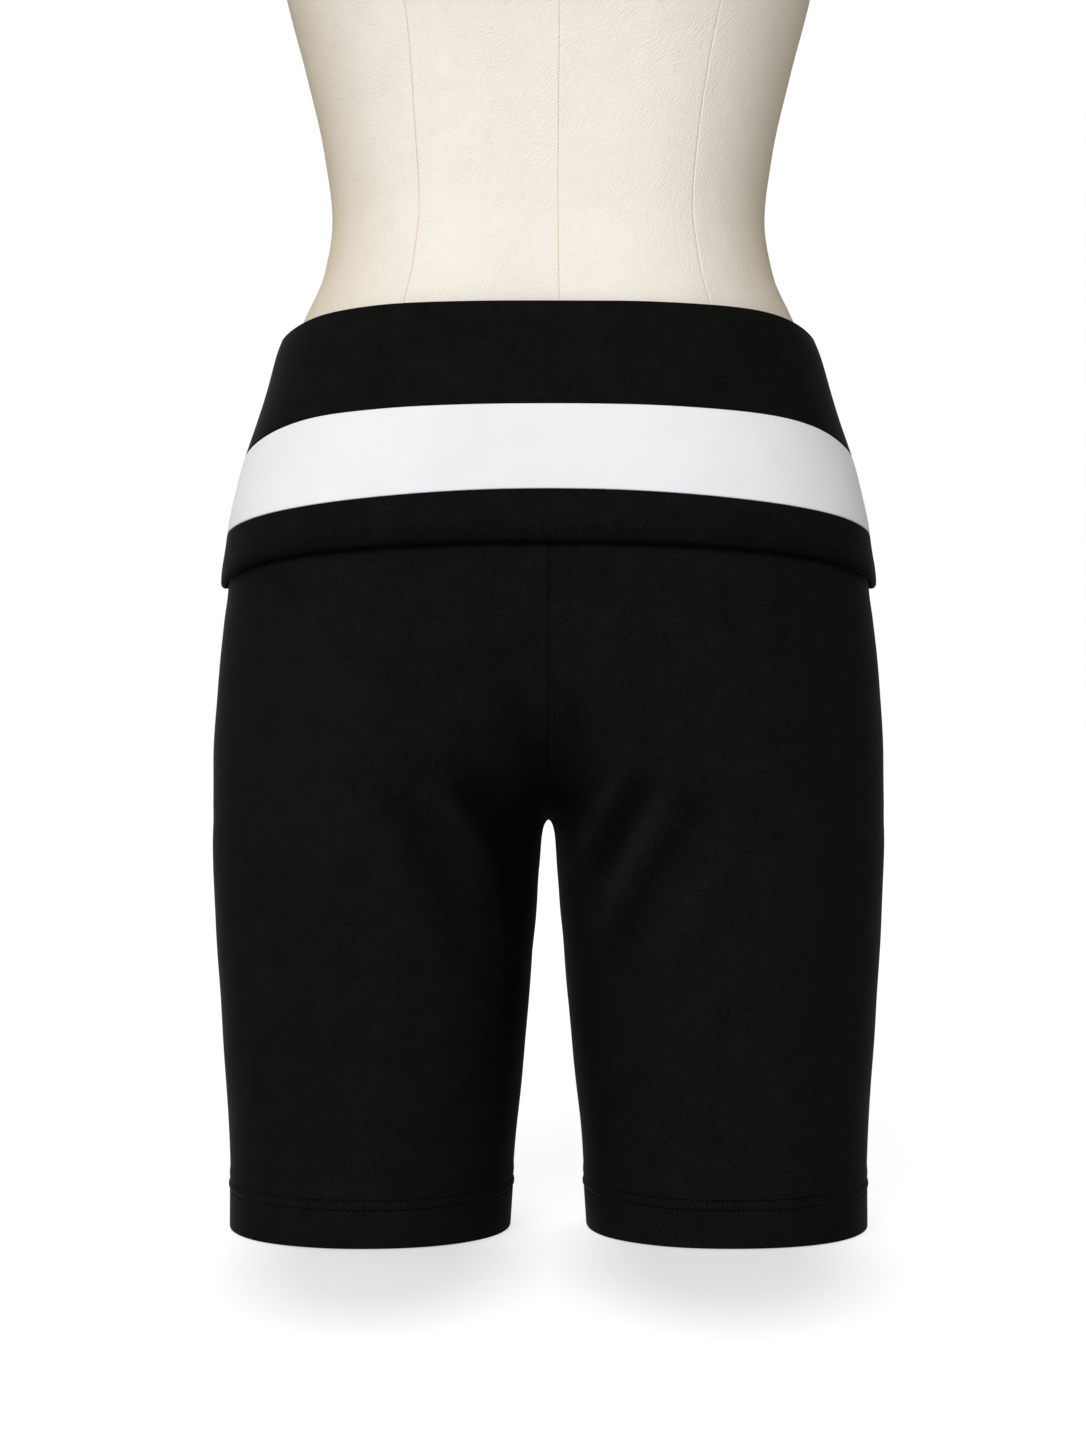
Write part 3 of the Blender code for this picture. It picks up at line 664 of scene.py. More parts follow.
def lay_flat(piece, across, along, lap=None):
    """Give a piece its UV map: the cloth laid flat, in metres, a value for each vertex.

    lap is the girth at each vertex of a tube, whose map is cut open at the centre back.
    """
    data = piece.data
    corner = np.empty(len(data.loops), np.int32)
    data.loops.foreach_get("vertex_index", corner)
    u, v = across[corner].reshape(-1, 4), along[corner]
    if lap is not None:
        girth = lap[corner].reshape(-1, 4)
        cut = np.ptp(u, axis=1, keepdims=True) > girth / 2.0
        u = np.where(cut & (u < 0.0), u + girth, u)
    layer = data.uv_layers.new(name="cloth")
    flat = np.stack([u.reshape(-1), v], axis=-1).astype(np.float32)
    layer.uv.foreach_set("vector", flat.ravel())


def mark_shade(piece, values):
    """Store how deep in shade each vertex lies, for the black cloth's material."""
    shade = piece.data.attributes.new("shade", "FLOAT", "POINT")
    shade.data.foreach_set("value", values.astype(np.float32))


# ---------------------------------------------------------------- materials

def linear(hex_colour):
    """A linear RGBA colour from an sRGB hex value such as "#a1b2c3"."""
    parts = [int(hex_colour[i:i + 2], 16) / 255.0 for i in (1, 3, 5)]
    return [c / 12.92 if c <= 0.04045 else ((c + 0.055) / 1.055) ** 2.4 for c in parts] + [1.0]


def set_inputs(tree, node, inputs):
    """Give a node's sockets, by name or number, a value or another node's output."""
    for socket, value in inputs.items():
        if isinstance(value, bpy.types.NodeSocket):
            tree.links.new(value, node.inputs[socket])
        else:
            node.inputs[socket].default_value = value


def add_node(tree, kind, inputs=None, output=0, **settings):
    """Add a node with its settings and inputs, and return one of its outputs."""
    node = tree.nodes.new("ShaderNode" + kind)
    for name, value in settings.items():
        setattr(node, name, value)
    set_inputs(tree, node, inputs or {})
    return node.outputs[output]


def get_material(name, build, *arguments):
    """The material of that name. build(tree, ...) makes its nodes and gives its shader's inputs."""
    material = bpy.data.materials.get(name)
    if material is None:
        material = bpy.data.materials.new(name)
        material.use_nodes = True
        tree = material.node_tree
        set_inputs(tree, tree.nodes["Principled BSDF"], build(tree, *arguments))
    return material


def knitted_face(tree, uv, wale, course):
    """The height of a plain knit face: upright ribs of slanted loop legs, from real spacings."""
    x = add_node(tree, "SeparateXYZ", {"Vector": uv})
    across = add_node(tree, "Math", {0: x, 1: 1.0 / wale}, operation="MULTIPLY")
    along = add_node(
        tree, "Math", {0: x.node.outputs["Y"], 1: 1.0 / course}, operation="MULTIPLY"
    )
    slant = add_node(tree, "Math", {0: across, 1: 0.5}, operation="PINGPONG")
    slanted = add_node(tree, "Math", {0: slant, 1: 1.3, 2: along}, operation="MULTIPLY_ADD")
    waves = []
    for turn in (across, slanted):
        turn = add_node(tree, "Math", {0: turn, 1: 2.0 * math.pi}, operation="MULTIPLY")
        waves.append(add_node(tree, "Math", {0: turn}, operation="SINE"))
    ribs = add_node(tree, "Math", {0: waves[0]}, operation="ABSOLUTE")
    return add_node(tree, "Math", {0: waves[1], 1: 0.5, 2: ribs}, operation="MULTIPLY_ADD")


def black_jersey(tree, settings):
    """The cloth of the panels, the waistband and the lower strip."""
    # Dense double-knit viscose jersey, piece-dyed black. It swallows light: no gloss, a fine grain
    # and slow clouds in the dye. A thin grey painted highlight lies where it turns away from view.
    # Painted shade turns its folds almost fully black and lightens its ridges.
    uv = add_node(tree, "UVMap", uv_map="cloth")
    place = add_node(tree, "TexCoord", output="Object")
    clouds = add_node(tree, "TexNoise", {
        "Vector": place, "Scale": 1.0 / 0.016, "Detail": 4.0, "Roughness": 0.62,
    })
    grain = add_node(tree, "TexNoise", {
        "Vector": place, "Scale": 1.0 / 0.0012, "Detail": 2.0, "Roughness": 0.7,
    })
    # Real wales are 0.7 mm apart. They are drawn at 1.3 mm, to show at all in the picture.
    knit = knitted_face(tree, uv, 0.0013, 0.0011)
    mottle_and_painted_shade = add_node(tree, "Math", {0: clouds, 1: 0.40, 2: -0.36}, operation="MULTIPLY_ADD")
    mottle_and_painted_shade = add_node(tree, "Math", {0: grain, 1: 0.95, 2: mottle_and_painted_shade}, operation="MULTIPLY_ADD")
    # Painted shade: the stored shade darkens folds, the crotch, the stitch grooves and the line
    # under the strip, and lightens the ridges.
    shade = add_node(tree, "Attribute", output="Fac", attribute_name="shade")
    mottle_and_painted_shade = add_node(
        tree, "Math", {0: shade, 1: -0.5, 2: mottle_and_painted_shade}, operation="MULTIPLY_ADD", use_clamp=True
    )
    colour = add_node(
        tree, "Mix", {"Factor": mottle_and_painted_shade, "A": settings.black_dark, "B": settings.black_light},
        "Result", data_type="RGBA",
    )
    # Painted highlight: a thin light grey rim where the surface turns away from view.
    facing = add_node(tree, "LayerWeight", {"Blend": 0.5}, "Facing")
    painted_rim_highlight = add_node(tree, "Math", {0: facing, 1: 9.0}, operation="POWER", use_clamp=True)
    colour = add_node(
        tree, "Mix", {"Factor": painted_rim_highlight, "A": colour, "B": linear("#4a4a4a")}, "Result",
        data_type="RGBA",
    )
    fuzz = add_node(tree, "Bump", {"Strength": 0.9, "Distance": 0.00045, "Height": grain})
    normal = add_node(
        tree, "Bump", {"Strength": 0.4, "Distance": 0.00010, "Height": knit, "Normal": fuzz}
    )
    return {
        "Roughness": 0.85, "Specular IOR Level": 0.04, "Sheen Weight": 0.015,
        "Sheen Roughness": 0.13, "Base Color": colour, "Normal": normal,
    }


def pale_jersey(tree, settings):
    """The cloth of the contrast band."""
    # Fine-rib cotton jersey, optic white with a cool cast. It looks flat and soft: upright
    # ribs that barely show, and no gloss.
    uv = add_node(tree, "UVMap", uv_map="cloth")
    place = add_node(tree, "TexCoord", output="Object")
    clouds = add_node(tree, "TexNoise", {
        "Vector": place, "Scale": 1.0 / 0.020, "Detail": 3.0, "Roughness": 0.55,
    })
    grain = add_node(tree, "TexNoise", {
        "Vector": uv, "Scale": 1.0 / 0.0012, "Detail": 2.0, "Roughness": 0.6,
    })
    # Real ribs are 0.6 mm apart. They are drawn at 1.2 mm, to show at all in the picture.
    ribs = knitted_face(tree, uv, 0.0012, 0.0010)
    shade = add_node(tree, "Math", {0: clouds, 1: 0.6, 2: 0.0}, operation="MULTIPLY_ADD")
    shade = add_node(
        tree, "Math", {0: grain, 1: 0.4, 2: shade}, operation="MULTIPLY_ADD", use_clamp=True
    )
    colour = add_node(
        tree, "Mix", {"Factor": shade, "A": settings.pale_dark, "B": settings.pale_light},
        "Result", data_type="RGBA",
    )
    fuzz = add_node(tree, "Bump", {"Strength": 0.3, "Distance": 0.00012, "Height": grain})
    normal = add_node(
        tree, "Bump", {"Strength": 0.25, "Distance": 0.00008, "Height": ribs, "Normal": fuzz}
    )
    return {
        "Roughness": 0.88, "Specular IOR Level": 0.15, "Sheen Weight": 0.05,
        "Sheen Roughness": 0.4, "Base Color": colour, "Normal": normal,
    }


def form_linen(tree, settings):
    """The cover of the dress form."""
    # Unbleached linen glued over a moulded shell and sized. It looks dry and papery: fine
    # fibre strokes that swirl, and warm clouds where the size soaked in.
    place = add_node(tree, "TexCoord", output="Object")
    clouds = add_node(tree, "TexNoise", {
        "Vector": place, "Scale": 1.0 / 0.050, "Detail": 4.0, "Roughness": 0.6,
    })
    bend = add_node(
        tree, "TexNoise", {"Vector": place, "Scale": 1.0 / 0.024, "Detail": 1.0}, "Color"
    )
    bent = add_node(
        tree, "VectorMath", {0: bend, 1: (0.012, 0.012, 0.012), 2: place},
        operation="MULTIPLY_ADD",
    )
    # The fibres are 0.3 mm apart. They are drawn at 0.7 mm, to show at all in the picture.
    layers = []
    for tilt in (-0.75, 0.40):
        turned = add_node(
            tree, "VectorRotate", {"Vector": bent, "Angle": tilt}, rotation_type="Y_AXIS"
        )
        drawn = add_node(
            tree, "VectorMath", {0: turned, 1: (1350.0, 1350.0, 330.0)}, operation="MULTIPLY"
        )
        layers.append(add_node(tree, "TexNoise", {
            "Vector": drawn, "Scale": 1.0, "Detail": 1.5, "Roughness": 0.5,
        }))
    patches = add_node(tree, "TexNoise", {"Vector": place, "Scale": 1.0 / 0.018, "Detail": 1.0})
    patches = add_node(tree, "MapRange", {"Value": patches, "From Min": 0.50, "From Max": 0.62})
    strokes = add_node(tree, "Mix", {"Factor": patches, "A": layers[0], "B": layers[1]})
    grain = add_node(tree, "TexNoise", {
        "Vector": place, "Scale": 1.0 / 0.0011, "Detail": 2.0, "Roughness": 0.6,
    })
    shade = add_node(tree, "Math", {0: clouds, 1: 0.5, 2: 0.08}, operation="MULTIPLY_ADD")
    shade = add_node(
        tree, "Math", {0: strokes, 1: 0.3, 2: shade}, operation="MULTIPLY_ADD", use_clamp=True
    )
    colour = add_node(
        tree, "Mix", {"Factor": shade, "A": settings.linen_dark, "B": settings.linen_light},
        "Result", data_type="RGBA",
    )
    # Painted shade: seen at a slant, the colour is mixed towards a darker, warmer tone, which
    # stands in for the shade where the form turns away.
    slant = add_node(tree, "LayerWeight", {"Blend": 0.5}, "Facing")
    slant = add_node(tree, "Math", {0: slant, 1: 1.2}, operation="POWER")
    colour = add_node(
        tree, "Mix", {"Factor": slant, "A": colour, "B": linear("#d3c3a8")}, "Result",
        data_type="RGBA",
    )
    rough = add_node(tree, "Bump", {"Strength": 0.35, "Distance": 0.00015, "Height": grain})
    normal = add_node(
        tree, "Bump", {"Strength": 1.0, "Distance": 0.00052, "Height": strokes, "Normal": rough}
    )
    return {
        "Roughness": 0.90, "Specular IOR Level": 0.20, "Base Color": colour, "Normal": normal,
    }


def sewing_thread(tree, dark, light):
    """The thread of the hems or of the form's seams."""
    # Spun polyester: matt, with the light and dark of its twist.
    place = add_node(tree, "TexCoord", output="Object")
    twist = add_node(tree, "TexNoise", {"Vector": place, "Scale": 1.0 / 0.0006, "Detail": 1.0})
    colour = add_node(
        tree, "Mix", {"Factor": twist, "A": linear(dark), "B": linear(light)}, "Result",
        data_type="RGBA",
    )
    return {"Roughness": 0.75, "Specular IOR Level": 0.15, "Base Color": colour}


def contact_shadows(tree, glow):
    """How brightly the lit floor shines: dimmed softly in front of each leg, a painted shadow."""
    place = add_node(tree, "TexCoord", output="Object")
    x = add_node(tree, "SeparateXYZ", {"Vector": place})
    aside = add_node(tree, "Math", {0: x}, operation="ABSOLUTE")
    away = add_node(tree, "CombineXYZ", {"X": aside, "Y": x.node.outputs["Y"]})
    for operation, value in (("SUBTRACT", (0.086, -0.12, 0.0)), ("DIVIDE", (0.10, 0.27, 1.0))):
        away = add_node(tree, "VectorMath", {0: away, 1: value}, operation=operation)
    away = add_node(tree, "VectorMath", {0: away}, "Value", operation="LENGTH")
    return add_node(tree, "MapRange", {
        "Value": away, "From Min": 0.30, "From Max": 1.0, "To Min": glow - 0.24, "To Max": glow,
    }, interpolation_type="SMOOTHSTEP")


def lit_vinyl(tree, base, glow, shadowed):
    """The floor and the walls of the studio."""
    # Matt vinyl with light behind it: even, with no grain and no gloss. Where shadowed, a painted
    # shadow dims it in front of each leg.
    return {
        "Base Color": linear(base), "Roughness": 0.95, "Specular IOR Level": 0.0,
        "Emission Color": (1.0, 1.0, 1.0, 1.0),
        "Emission Strength": contact_shadows(tree, glow) if shadowed else glow,
    }


def black_cloth(settings):
    """The black jersey, made the first time it is asked for."""
    return get_material("double_knit_jersey_black", black_jersey, settings)


def linen_cover(settings):
    """The form's linen, made the first time it is asked for."""
    return get_material("sized_linen_oatmeal", form_linen, settings)


# ---------------------------------------------------------------- settings

def colour_setting(name, description, hex_colour):
    """A colour that a user would change, from its sRGB hex value."""
    return bpy.props.FloatVectorProperty(
        name=name, description=description, default=linear(hex_colour), subtype="COLOR",
        size=4, min=0.0, max=1.0,
    )


def number_setting(name, description, default, **kind):
    """A size or a strength that a user would change."""
    return bpy.props.FloatProperty(name=name, description=description, default=default, **kind)


class ShortsSettings(bpy.types.PropertyGroup):
    """Sizes and colours of the shorts that a user would change."""

    # The darker black also carries the painted shade in folds, and the lighter one the painted
    # light on ridges.
    black_dark: colour_setting("Black, darker", "The black jersey's darker clouds", "#050505")
    black_light: colour_setting("Black, lighter", "The black jersey's lighter clouds", "#1c1c1b")
    pale_dark: colour_setting("Pale, darker", "The pale band's hollows", "#e5e4e6")
    pale_light: colour_setting("Pale, lighter", "The pale band's highest ribs", "#f0eff1")
    row_step: number_setting(
        "Row step", "Longest step between two rows of a leg panel", 0.0023, unit="LENGTH"
    )
    column_step: number_setting(
        "Column step", "Longest step between two columns, as a share of a quarter", 0.0118,
        subtype="FACTOR",
    )
    stitch_pitch: number_setting(
        "Stitch length", "Distance from one hem stitch to the next", 0.0027, unit="LENGTH"
    )
    thread: number_setting(
        "Thread", "Thickness of the hem's sewing thread", 0.00055, unit="LENGTH"
    )


class FormSettings(bpy.types.PropertyGroup):
    """Sizes and colours of the dress form that a user would change."""

    linen_dark: colour_setting("Linen, darker", "The linen's darker clouds", "#eae3d8")
    linen_light: colour_setting("Linen, lighter", "The linen's lighter clouds", "#f6f0e7")
    stitch_pitch: number_setting(
        "Stitch length", "Distance from one stitch of the cover's seams to the next", 0.0017,
        unit="LENGTH",
    )


class StageSettings(bpy.types.PropertyGroup):
    """The camera and the light."""

    distance: number_setting(
        "Camera distance", "From the camera to the middle of the form", 1.80, unit="LENGTH"
    )
    height: number_setting("Camera height", "Height of the level camera", 0.270, unit="LENGTH")
    lens: number_setting("Focal length", "In millimetres, on a 36 mm long side", 82.9)
    room: number_setting("Room", "Brightness of the room in front of the form", 0.07, min=0.0)
    wall: number_setting("Wall", "Brightness of the lit wall behind the form", 0.18, min=0.0)
    floor_glow: number_setting(
        "Floor glow", "How much the lit floor shines by itself", 0.78, min=0.0
    )
    bounce: number_setting(
        "Bounce", "How much light the floor gives the form by itself", 0.21, min=0.0
    )


# ---------------------------------------------------------------- the shorts

HEM_MIDDLE = -HEM_WALL / 2.0      # the hem's fold turns round a line inside its two layers


def panel_rows(step):
    """The rows of a leg panel, from the raw edge inside the hem, round its fold and up.

    Each has its height on the inner edge and at the side, its angle in the hem's fold, from
    pi inside to 0 outside, and 1 where it belongs to the outer layer.
    """
    fold = FLOOR_GAP + HEM_WALL / 2.0
    upper, lower = STITCH_ROWS
    inside = spread((HEM_DEPTH, fold), 0.0040)[:-1]
    turn = np.linspace(math.pi, 0.0, 9)
    near_stitches = spread((lower - 0.0030, upper + ROW_RISE + 0.0040), 0.00036)
    outside = np.concatenate([
        spread((fold, near_stitches[0]), step)[1:-1], near_stitches,
        spread((near_stitches[-1], PANEL_ROWS[0][0]), step)[1:-1],
    ])
    inner, side = np.vstack([PANEL_ROWS, waist_seam(np.array([0.0, 1.0])) - SEAM_LINE]).T
    numbers = np.arange(len(inner), dtype=float)
    inner_at, side_at = monotone_curve(numbers, inner), monotone_curve(numbers, side)
    fine = [numbers[:1]]
    for i in range(len(numbers) - 1):
        longest = max(inner[i + 1] - inner[i], side[i + 1] - side[i])
        fine.append(np.linspace(i, i + 1, math.ceil(longest / step) + 1)[1:])
    fine = np.concatenate(fine)
    plain = np.concatenate([inside, np.full(len(turn), fold), outside])
    heights = np.concatenate([
        np.stack([plain, plain], axis=-1), np.stack([inner_at(fine), side_at(fine)], axis=-1),
    ])
    angle = np.concatenate([
        np.full(len(inside), math.pi), turn, np.zeros(len(outside) + len(fine)),
    ])
    return heights, angle


def leg_panel(face, side_name, settings):
    """One of the four leg panels, as it was cut: one sheet with its hem turned up inside."""
    half = -1.0 if face == "front" else 1.0
    panel = f"{face}_{side_name}"
    trim = SEAM_LINE / 2.0 / 0.22
    shoulder = (0.0, 0.0012, 0.0026, 0.0044, 0.0066, 0.0100, 0.0160, 0.0260)
    middle = spread((shoulder[-1], 1.0 - shoulder[-1]), settings.column_step)[1:-1]
    share = np.concatenate([shoulder, middle, 1.0 - np.array(shoulder[::-1])])
    share = trim + (1.0 - 2.0 * trim) * share
    heights, angle = panel_rows(settings.row_step)
    inner, side = heights.T
    level = np.interp(inner, FAN_FADE, (0.0, 1.0))[:, None]
    swing = (1.0 - level) * share ** FAN_POWER + level * edge_swing(share)
    z = inner[:, None] + (side - inner)[:, None] * swing
    skin = surface_points(start_angle(inner, half)[:, None] * (1.0 - share), z, half)
    normal = surface_normals(skin)
    across, along = lengths_along(skin, 1), lengths_along(skin, 0)
    outside = (np.cos(angle) > 0.0)[:, None]
    creases = crease_relief(skin, panel, CREASES)
    mirror = side_mirror(side_name)
    relief = np.maximum(creases + soft_waves(skin * mirror), -DEEPEST)
    relief = relief + np.where(outside, hem_relief(z - row_rise(skin)), hem_relief(FLOOR_GAP))
    centre_depth = np.interp(z, (CROTCH, CROTCH + 0.02), (INSEAM_DEPTH, SEAM_DEPTH))
    rolled = seam_roll(across, along, depth=centre_depth)
    rolled = rolled + seam_roll(across[:, -1:] - across, along, depth=SIDE_DEPTH)
    joined = inner > CROTCH - 1e-6
    grids = []
    for radius in (HEM_WALL / 2.0, HEM_WALL / 2.0 - JERSEY):
        offset = HEM_MIDDLE + radius * np.cos(angle)[:, None] + relief
        if not grids:
            offset = offset + np.where(outside, rolled, 0.0)
        points = skin + normal * offset[..., None]
        points[..., 2] -= radius * np.sin(angle)[:, None]
        points[..., 0] = np.maximum(points[..., 0], SEAM_LINE / 2.0)
        points[joined, 0, 0] = SEAM_LINE / 2.0
        points[..., 2] = np.maximum(points[..., 2], FLOOR_GAP)
        grids.append(points * mirror)
    mesh, row, column = cloth_wall(*grids, closed=False)
    piece = make_piece(f"{face}_panel_{side_name}", mesh, black_cloth(settings))
    lay_flat(piece, (across - across[:, -1:])[row, column], along[row, column])
    shade = shaded_places(skin, creases + crease_relief(skin, panel, SHADOWS), share)
    mark_shade(piece, shade[row, column])
    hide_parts(f"leg_{panel}")
    return piece


def hem_stitches(side_name, settings):
    """The two rows of a twin-needle coverstitch round one leg, each stitch a plump grain."""
    turns = np.linspace(0.0, 1.0, 721)
    mirror = side_mirror(side_name)
    rows = []
    for height in STITCH_ROWS:
        ring = []
        for half, share in ((-1.0, turns[:-1]), (1.0, turns[::-1])):
            turned = math.pi * (1.0 - share)
            level = surface_points(turned, np.full(share.shape, height), half)
            ring.append(surface_points(turned, height + row_rise(level), half))
        ring = np.concatenate(ring)
        outward = surface_normals(ring) * mirror
        ring = ring * mirror
        ring = ring + outward * (soft_waves(ring) + hem_relief(height) + 0.0001)[:, None]
        rows.append(sewn_line(ring, outward, settings.stitch_pitch))
    half_sizes = (settings.thread * 0.45, settings.thread / 2.0, settings.stitch_pitch * 0.22)
    thread = get_material("spun_thread_black", sewing_thread, "#121212", "#242424")
    return stitch_piece(f"coverstitch_{side_name}", rows, half_sizes, thread)


def tube_columns(step):
    """Quarter turns of a tube's columns from the centre front, closer at the centre back."""
    near = np.array((0.0012, 0.0026, 0.0044, 0.0066, 0.0100, 0.0160, 0.0260))
    left = spread((0.0, 1.0, 2.0 - near[-1]), step)[:-1]
    right = spread((2.0 + near[-1], 3.0, 4.0), step)[1:-1]
    return np.concatenate([left, 2.0 - near[::-1], (2.0,), 2.0 + near, right])


def band_tube(name, z_at, offsets, rolled, material, rises=(0.0, 0.0), shade=None):
    """A tube of the waistband, closed at a seam at the centre back.

    z_at(share) gives each row's height, [row, share]. offsets are how far the rows' outer and
    inner faces lie outside the body surface, and rises how far above those heights. rolled is
    each row's distance from a sewn edge, and shade how deep in shade it lies.
    """
    columns = tube_columns(TUBE_STEP)
    z = z_at(quarter_share(columns)[0])
    skin, normal = body_points(columns, z, z_start=z_at(np.zeros(1)))
    across, girth = lengths_round(skin)
    girth = np.broadcast_to(girth, z.shape)
    from_back = np.abs(across - girth / 2.0)
    across = np.where(columns > 2.0, across - girth, across)
    along = lengths_along(skin, 0)
    relief = soft_waves(skin, BAND_WAVES)
    edge = seam_roll(rolled[:, None], across, *BAND_ROLL)
    back = seam_roll(from_back, along, *BAND_ROLL)
    grids = []
    for offset, roll, rise in zip(offsets, (np.minimum(edge, back), 0.0), rises):
        points = skin + normal * (offset[:, None] + relief + roll)[..., None]
        points[..., 2] += rise
        grids.append(points)
    mesh, row, column = cloth_wall(*grids, closed=True)
    piece = make_piece(name, mesh, material)
    lay_flat(piece, across[row, column], along[row, column], girth[row, column])
    if shade is not None:
        mark_shade(piece, shade[row])
    return piece


def fold_over_waistband(settings):
    """The black tube over the top fold: its outer layer, and what shows of the inner one."""
    fold_radius = FOLD_WALL / 2.0
    inside = spread((1.0, 0.0), 0.18)[:-1]
    turn = np.linspace(math.pi, 0.0, 13)
    outside = spread((0.0, 0.06, 1.0), 0.045)[1:]
    outside = np.concatenate([outside[outside < 0.96], (0.975, 0.985, 0.992, 0.997, 1.0)])
    down = np.concatenate([inside, np.zeros(len(turn)), outside])
    angle = np.concatenate([np.full(len(inside), math.pi), turn, np.zeros(len(outside))])

    def z_at(share):
        fold = dropped(WAIST_FOLD - fold_radius, WAIST_FOLD_DROP, share)
        pale_edge = dropped(BAND_TOP, BAND_TOP_DROP, share) + SEAM_LINE / 2.0
        lower = np.where(angle[:, None] > math.pi / 2.0, fold - INSIDE_TURN, pale_edge)
        return fold + (lower - fold) * down[:, None]

    height = WAIST_FOLD - fold_radius - BAND_TOP
    rolled = np.where(angle > 0.0, 1.0, (1.0 - down) * height)
    outer_side = (1.0 + np.cos(angle)) / 2.0
    swell = FOLD_SWELL * outer_side * np.exp(-(down * outer_side * height / SWELL_REACH) ** 2)
    middle = FOLD_GAP / 2.0 + swell
    radii = (fold_radius, fold_radius - JERSEY)
    piece = band_tube(
        "waistband_folded", z_at, [middle + radius * np.cos(angle) for radius in radii], rolled,
        black_cloth(settings),
        rises=[(radius * np.sin(angle))[:, None] for radius in radii],
    )
    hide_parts("waistband")
    return piece


def pale_contrast_band(settings):
    """The pale band between the two black parts of the folded layer."""
    near = np.array((0.0, 0.006, 0.014, 0.028))
    middle = spread((near[-1], 1.0 - near[-1]), 0.05)[1:-1]
    down = np.concatenate([near, middle, 1.0 - near[::-1]])

    def z_at(share):
        top = dropped(BAND_TOP, BAND_TOP_DROP, share) - SEAM_LINE / 2.0
        bottom = dropped(BAND_BOTTOM, BAND_BOTTOM_DROP, share) + SEAM_LINE / 2.0
        return top + (bottom - top) * down[:, None]

    rolled = np.minimum(down, 1.0 - down) * (BAND_TOP - BAND_BOTTOM)
    outer = np.full(down.shape, FOLD_GAP + PALE_OFFSET)
    material = get_material("fine_rib_jersey_pale", pale_jersey, settings)
    piece = band_tube(
        "pale_contrast_band", z_at, (outer, outer - JERSEY), rolled, material
    )
    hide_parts("pale_band")
    return piece


def lower_strip(settings):
    """The folded layer's lower strip, doubled under to a soft rolled edge."""
    length = BAND_BOTTOM - FLAP_EDGE
    down, outer, inner = np.array(FLAP_PROFILE).T
    outer_at, inner_at = monotone_curve(down, outer), monotone_curve(down, inner)
    roll = (outer[-1] - inner[-1]) / 2.0 / length
    turn = np.linspace(0.0, math.pi / 2.0, 9)
    near = np.array((0.0, 0.010, 0.022, 0.045))
    rows = np.concatenate([
        near, spread((near[-1], 1.0 - roll), 0.05)[1:-1], 1.0 - roll + roll * np.sin(turn),
    ])
    rolled_in = ((rows - (1.0 - roll)) / roll).clip(0.0, 1.0)
    roundness = np.sqrt(np.clip(1.0 - rolled_in ** 2, 0.0, 1.0))
    middle = (outer_at(rows) + inner_at(rows)) / 2.0
    reach = (outer_at(rows) - inner_at(rows)) / 2.0 * np.maximum(roundness, 0.02)

    def z_at(share):
        top = dropped(BAND_BOTTOM, BAND_BOTTOM_DROP, share) - SEAM_LINE / 2.0
        bottom = dropped(FLAP_EDGE, FLAP_EDGE_DROP, share)
        return top + (bottom - top) * rows[:, None]

    piece = band_tube(
        "lower_strip", z_at, (middle + reach, middle - reach), rows * length,
        black_cloth(settings), shade=np.interp(rows, *STRIP_SHADE),
    )
    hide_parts("flap_strip")
    return piece


# ---------------------------------------------------------------- the dress form

def form_clearance(z):
    """How far inside the body surface the form lies: more inside the legs and the hems."""
    in_hem = LEG_CLEARANCE + HEM_WALL - 0.0014
    return np.interp(
        z, (HEM_DEPTH + 0.006, HEM_DEPTH + 0.012, 0.33, 0.39),
        (in_hem, LEG_CLEARANCE, LEG_CLEARANCE, FORM_CLEARANCE),
    )


def form_seams(z):
    """Quarter turns of the eight seams at the heights z, [seam, height], in order round."""
    heights, left, right = np.array(PRINCESS_SEAMS).T
    left, right = monotone_curve(heights, left)(z), monotone_curve(heights, right)(z)
    straight = np.zeros_like(z)
    lines = [
        straight, left, straight + 1.0, 2.0 - left, straight + 2.0, 2.0 + right,
        straight + 3.0, 4.0 - right,
    ]
    return np.array(lines) + FORM_TURN


def form_cover(name, points, end, border, settings):
    """A closed tube of the form's cover, with a board let into its top or its bottom.

    end is 1 for a board at the top and -1 at the bottom; border is the cover's width round it.
    """
    mesh, index = grid_mesh(points.shape[0] - 1, points.shape[1], closed=True)
    row, column, _ = take_index(mesh, index)
    place_vertices(mesh, points[row, column])
    bmesh.ops.remove_doubles(mesh, verts=mesh.verts, dist=1e-6)
    rims = [edge for edge in mesh.edges if edge.is_boundary]
    caps = bmesh.ops.holes_fill(mesh, edges=rims, sides=0)["faces"]
    turn_outwards(mesh)
    board = max(caps, key=lambda face: end * face.calc_center_median().z)
    for thickness, depth in ((border, 0.0), BOARD_STEP):
        bmesh.ops.inset_region(mesh, faces=[board], thickness=thickness, depth=depth)
    return make_piece(name, mesh, linen_cover(settings))


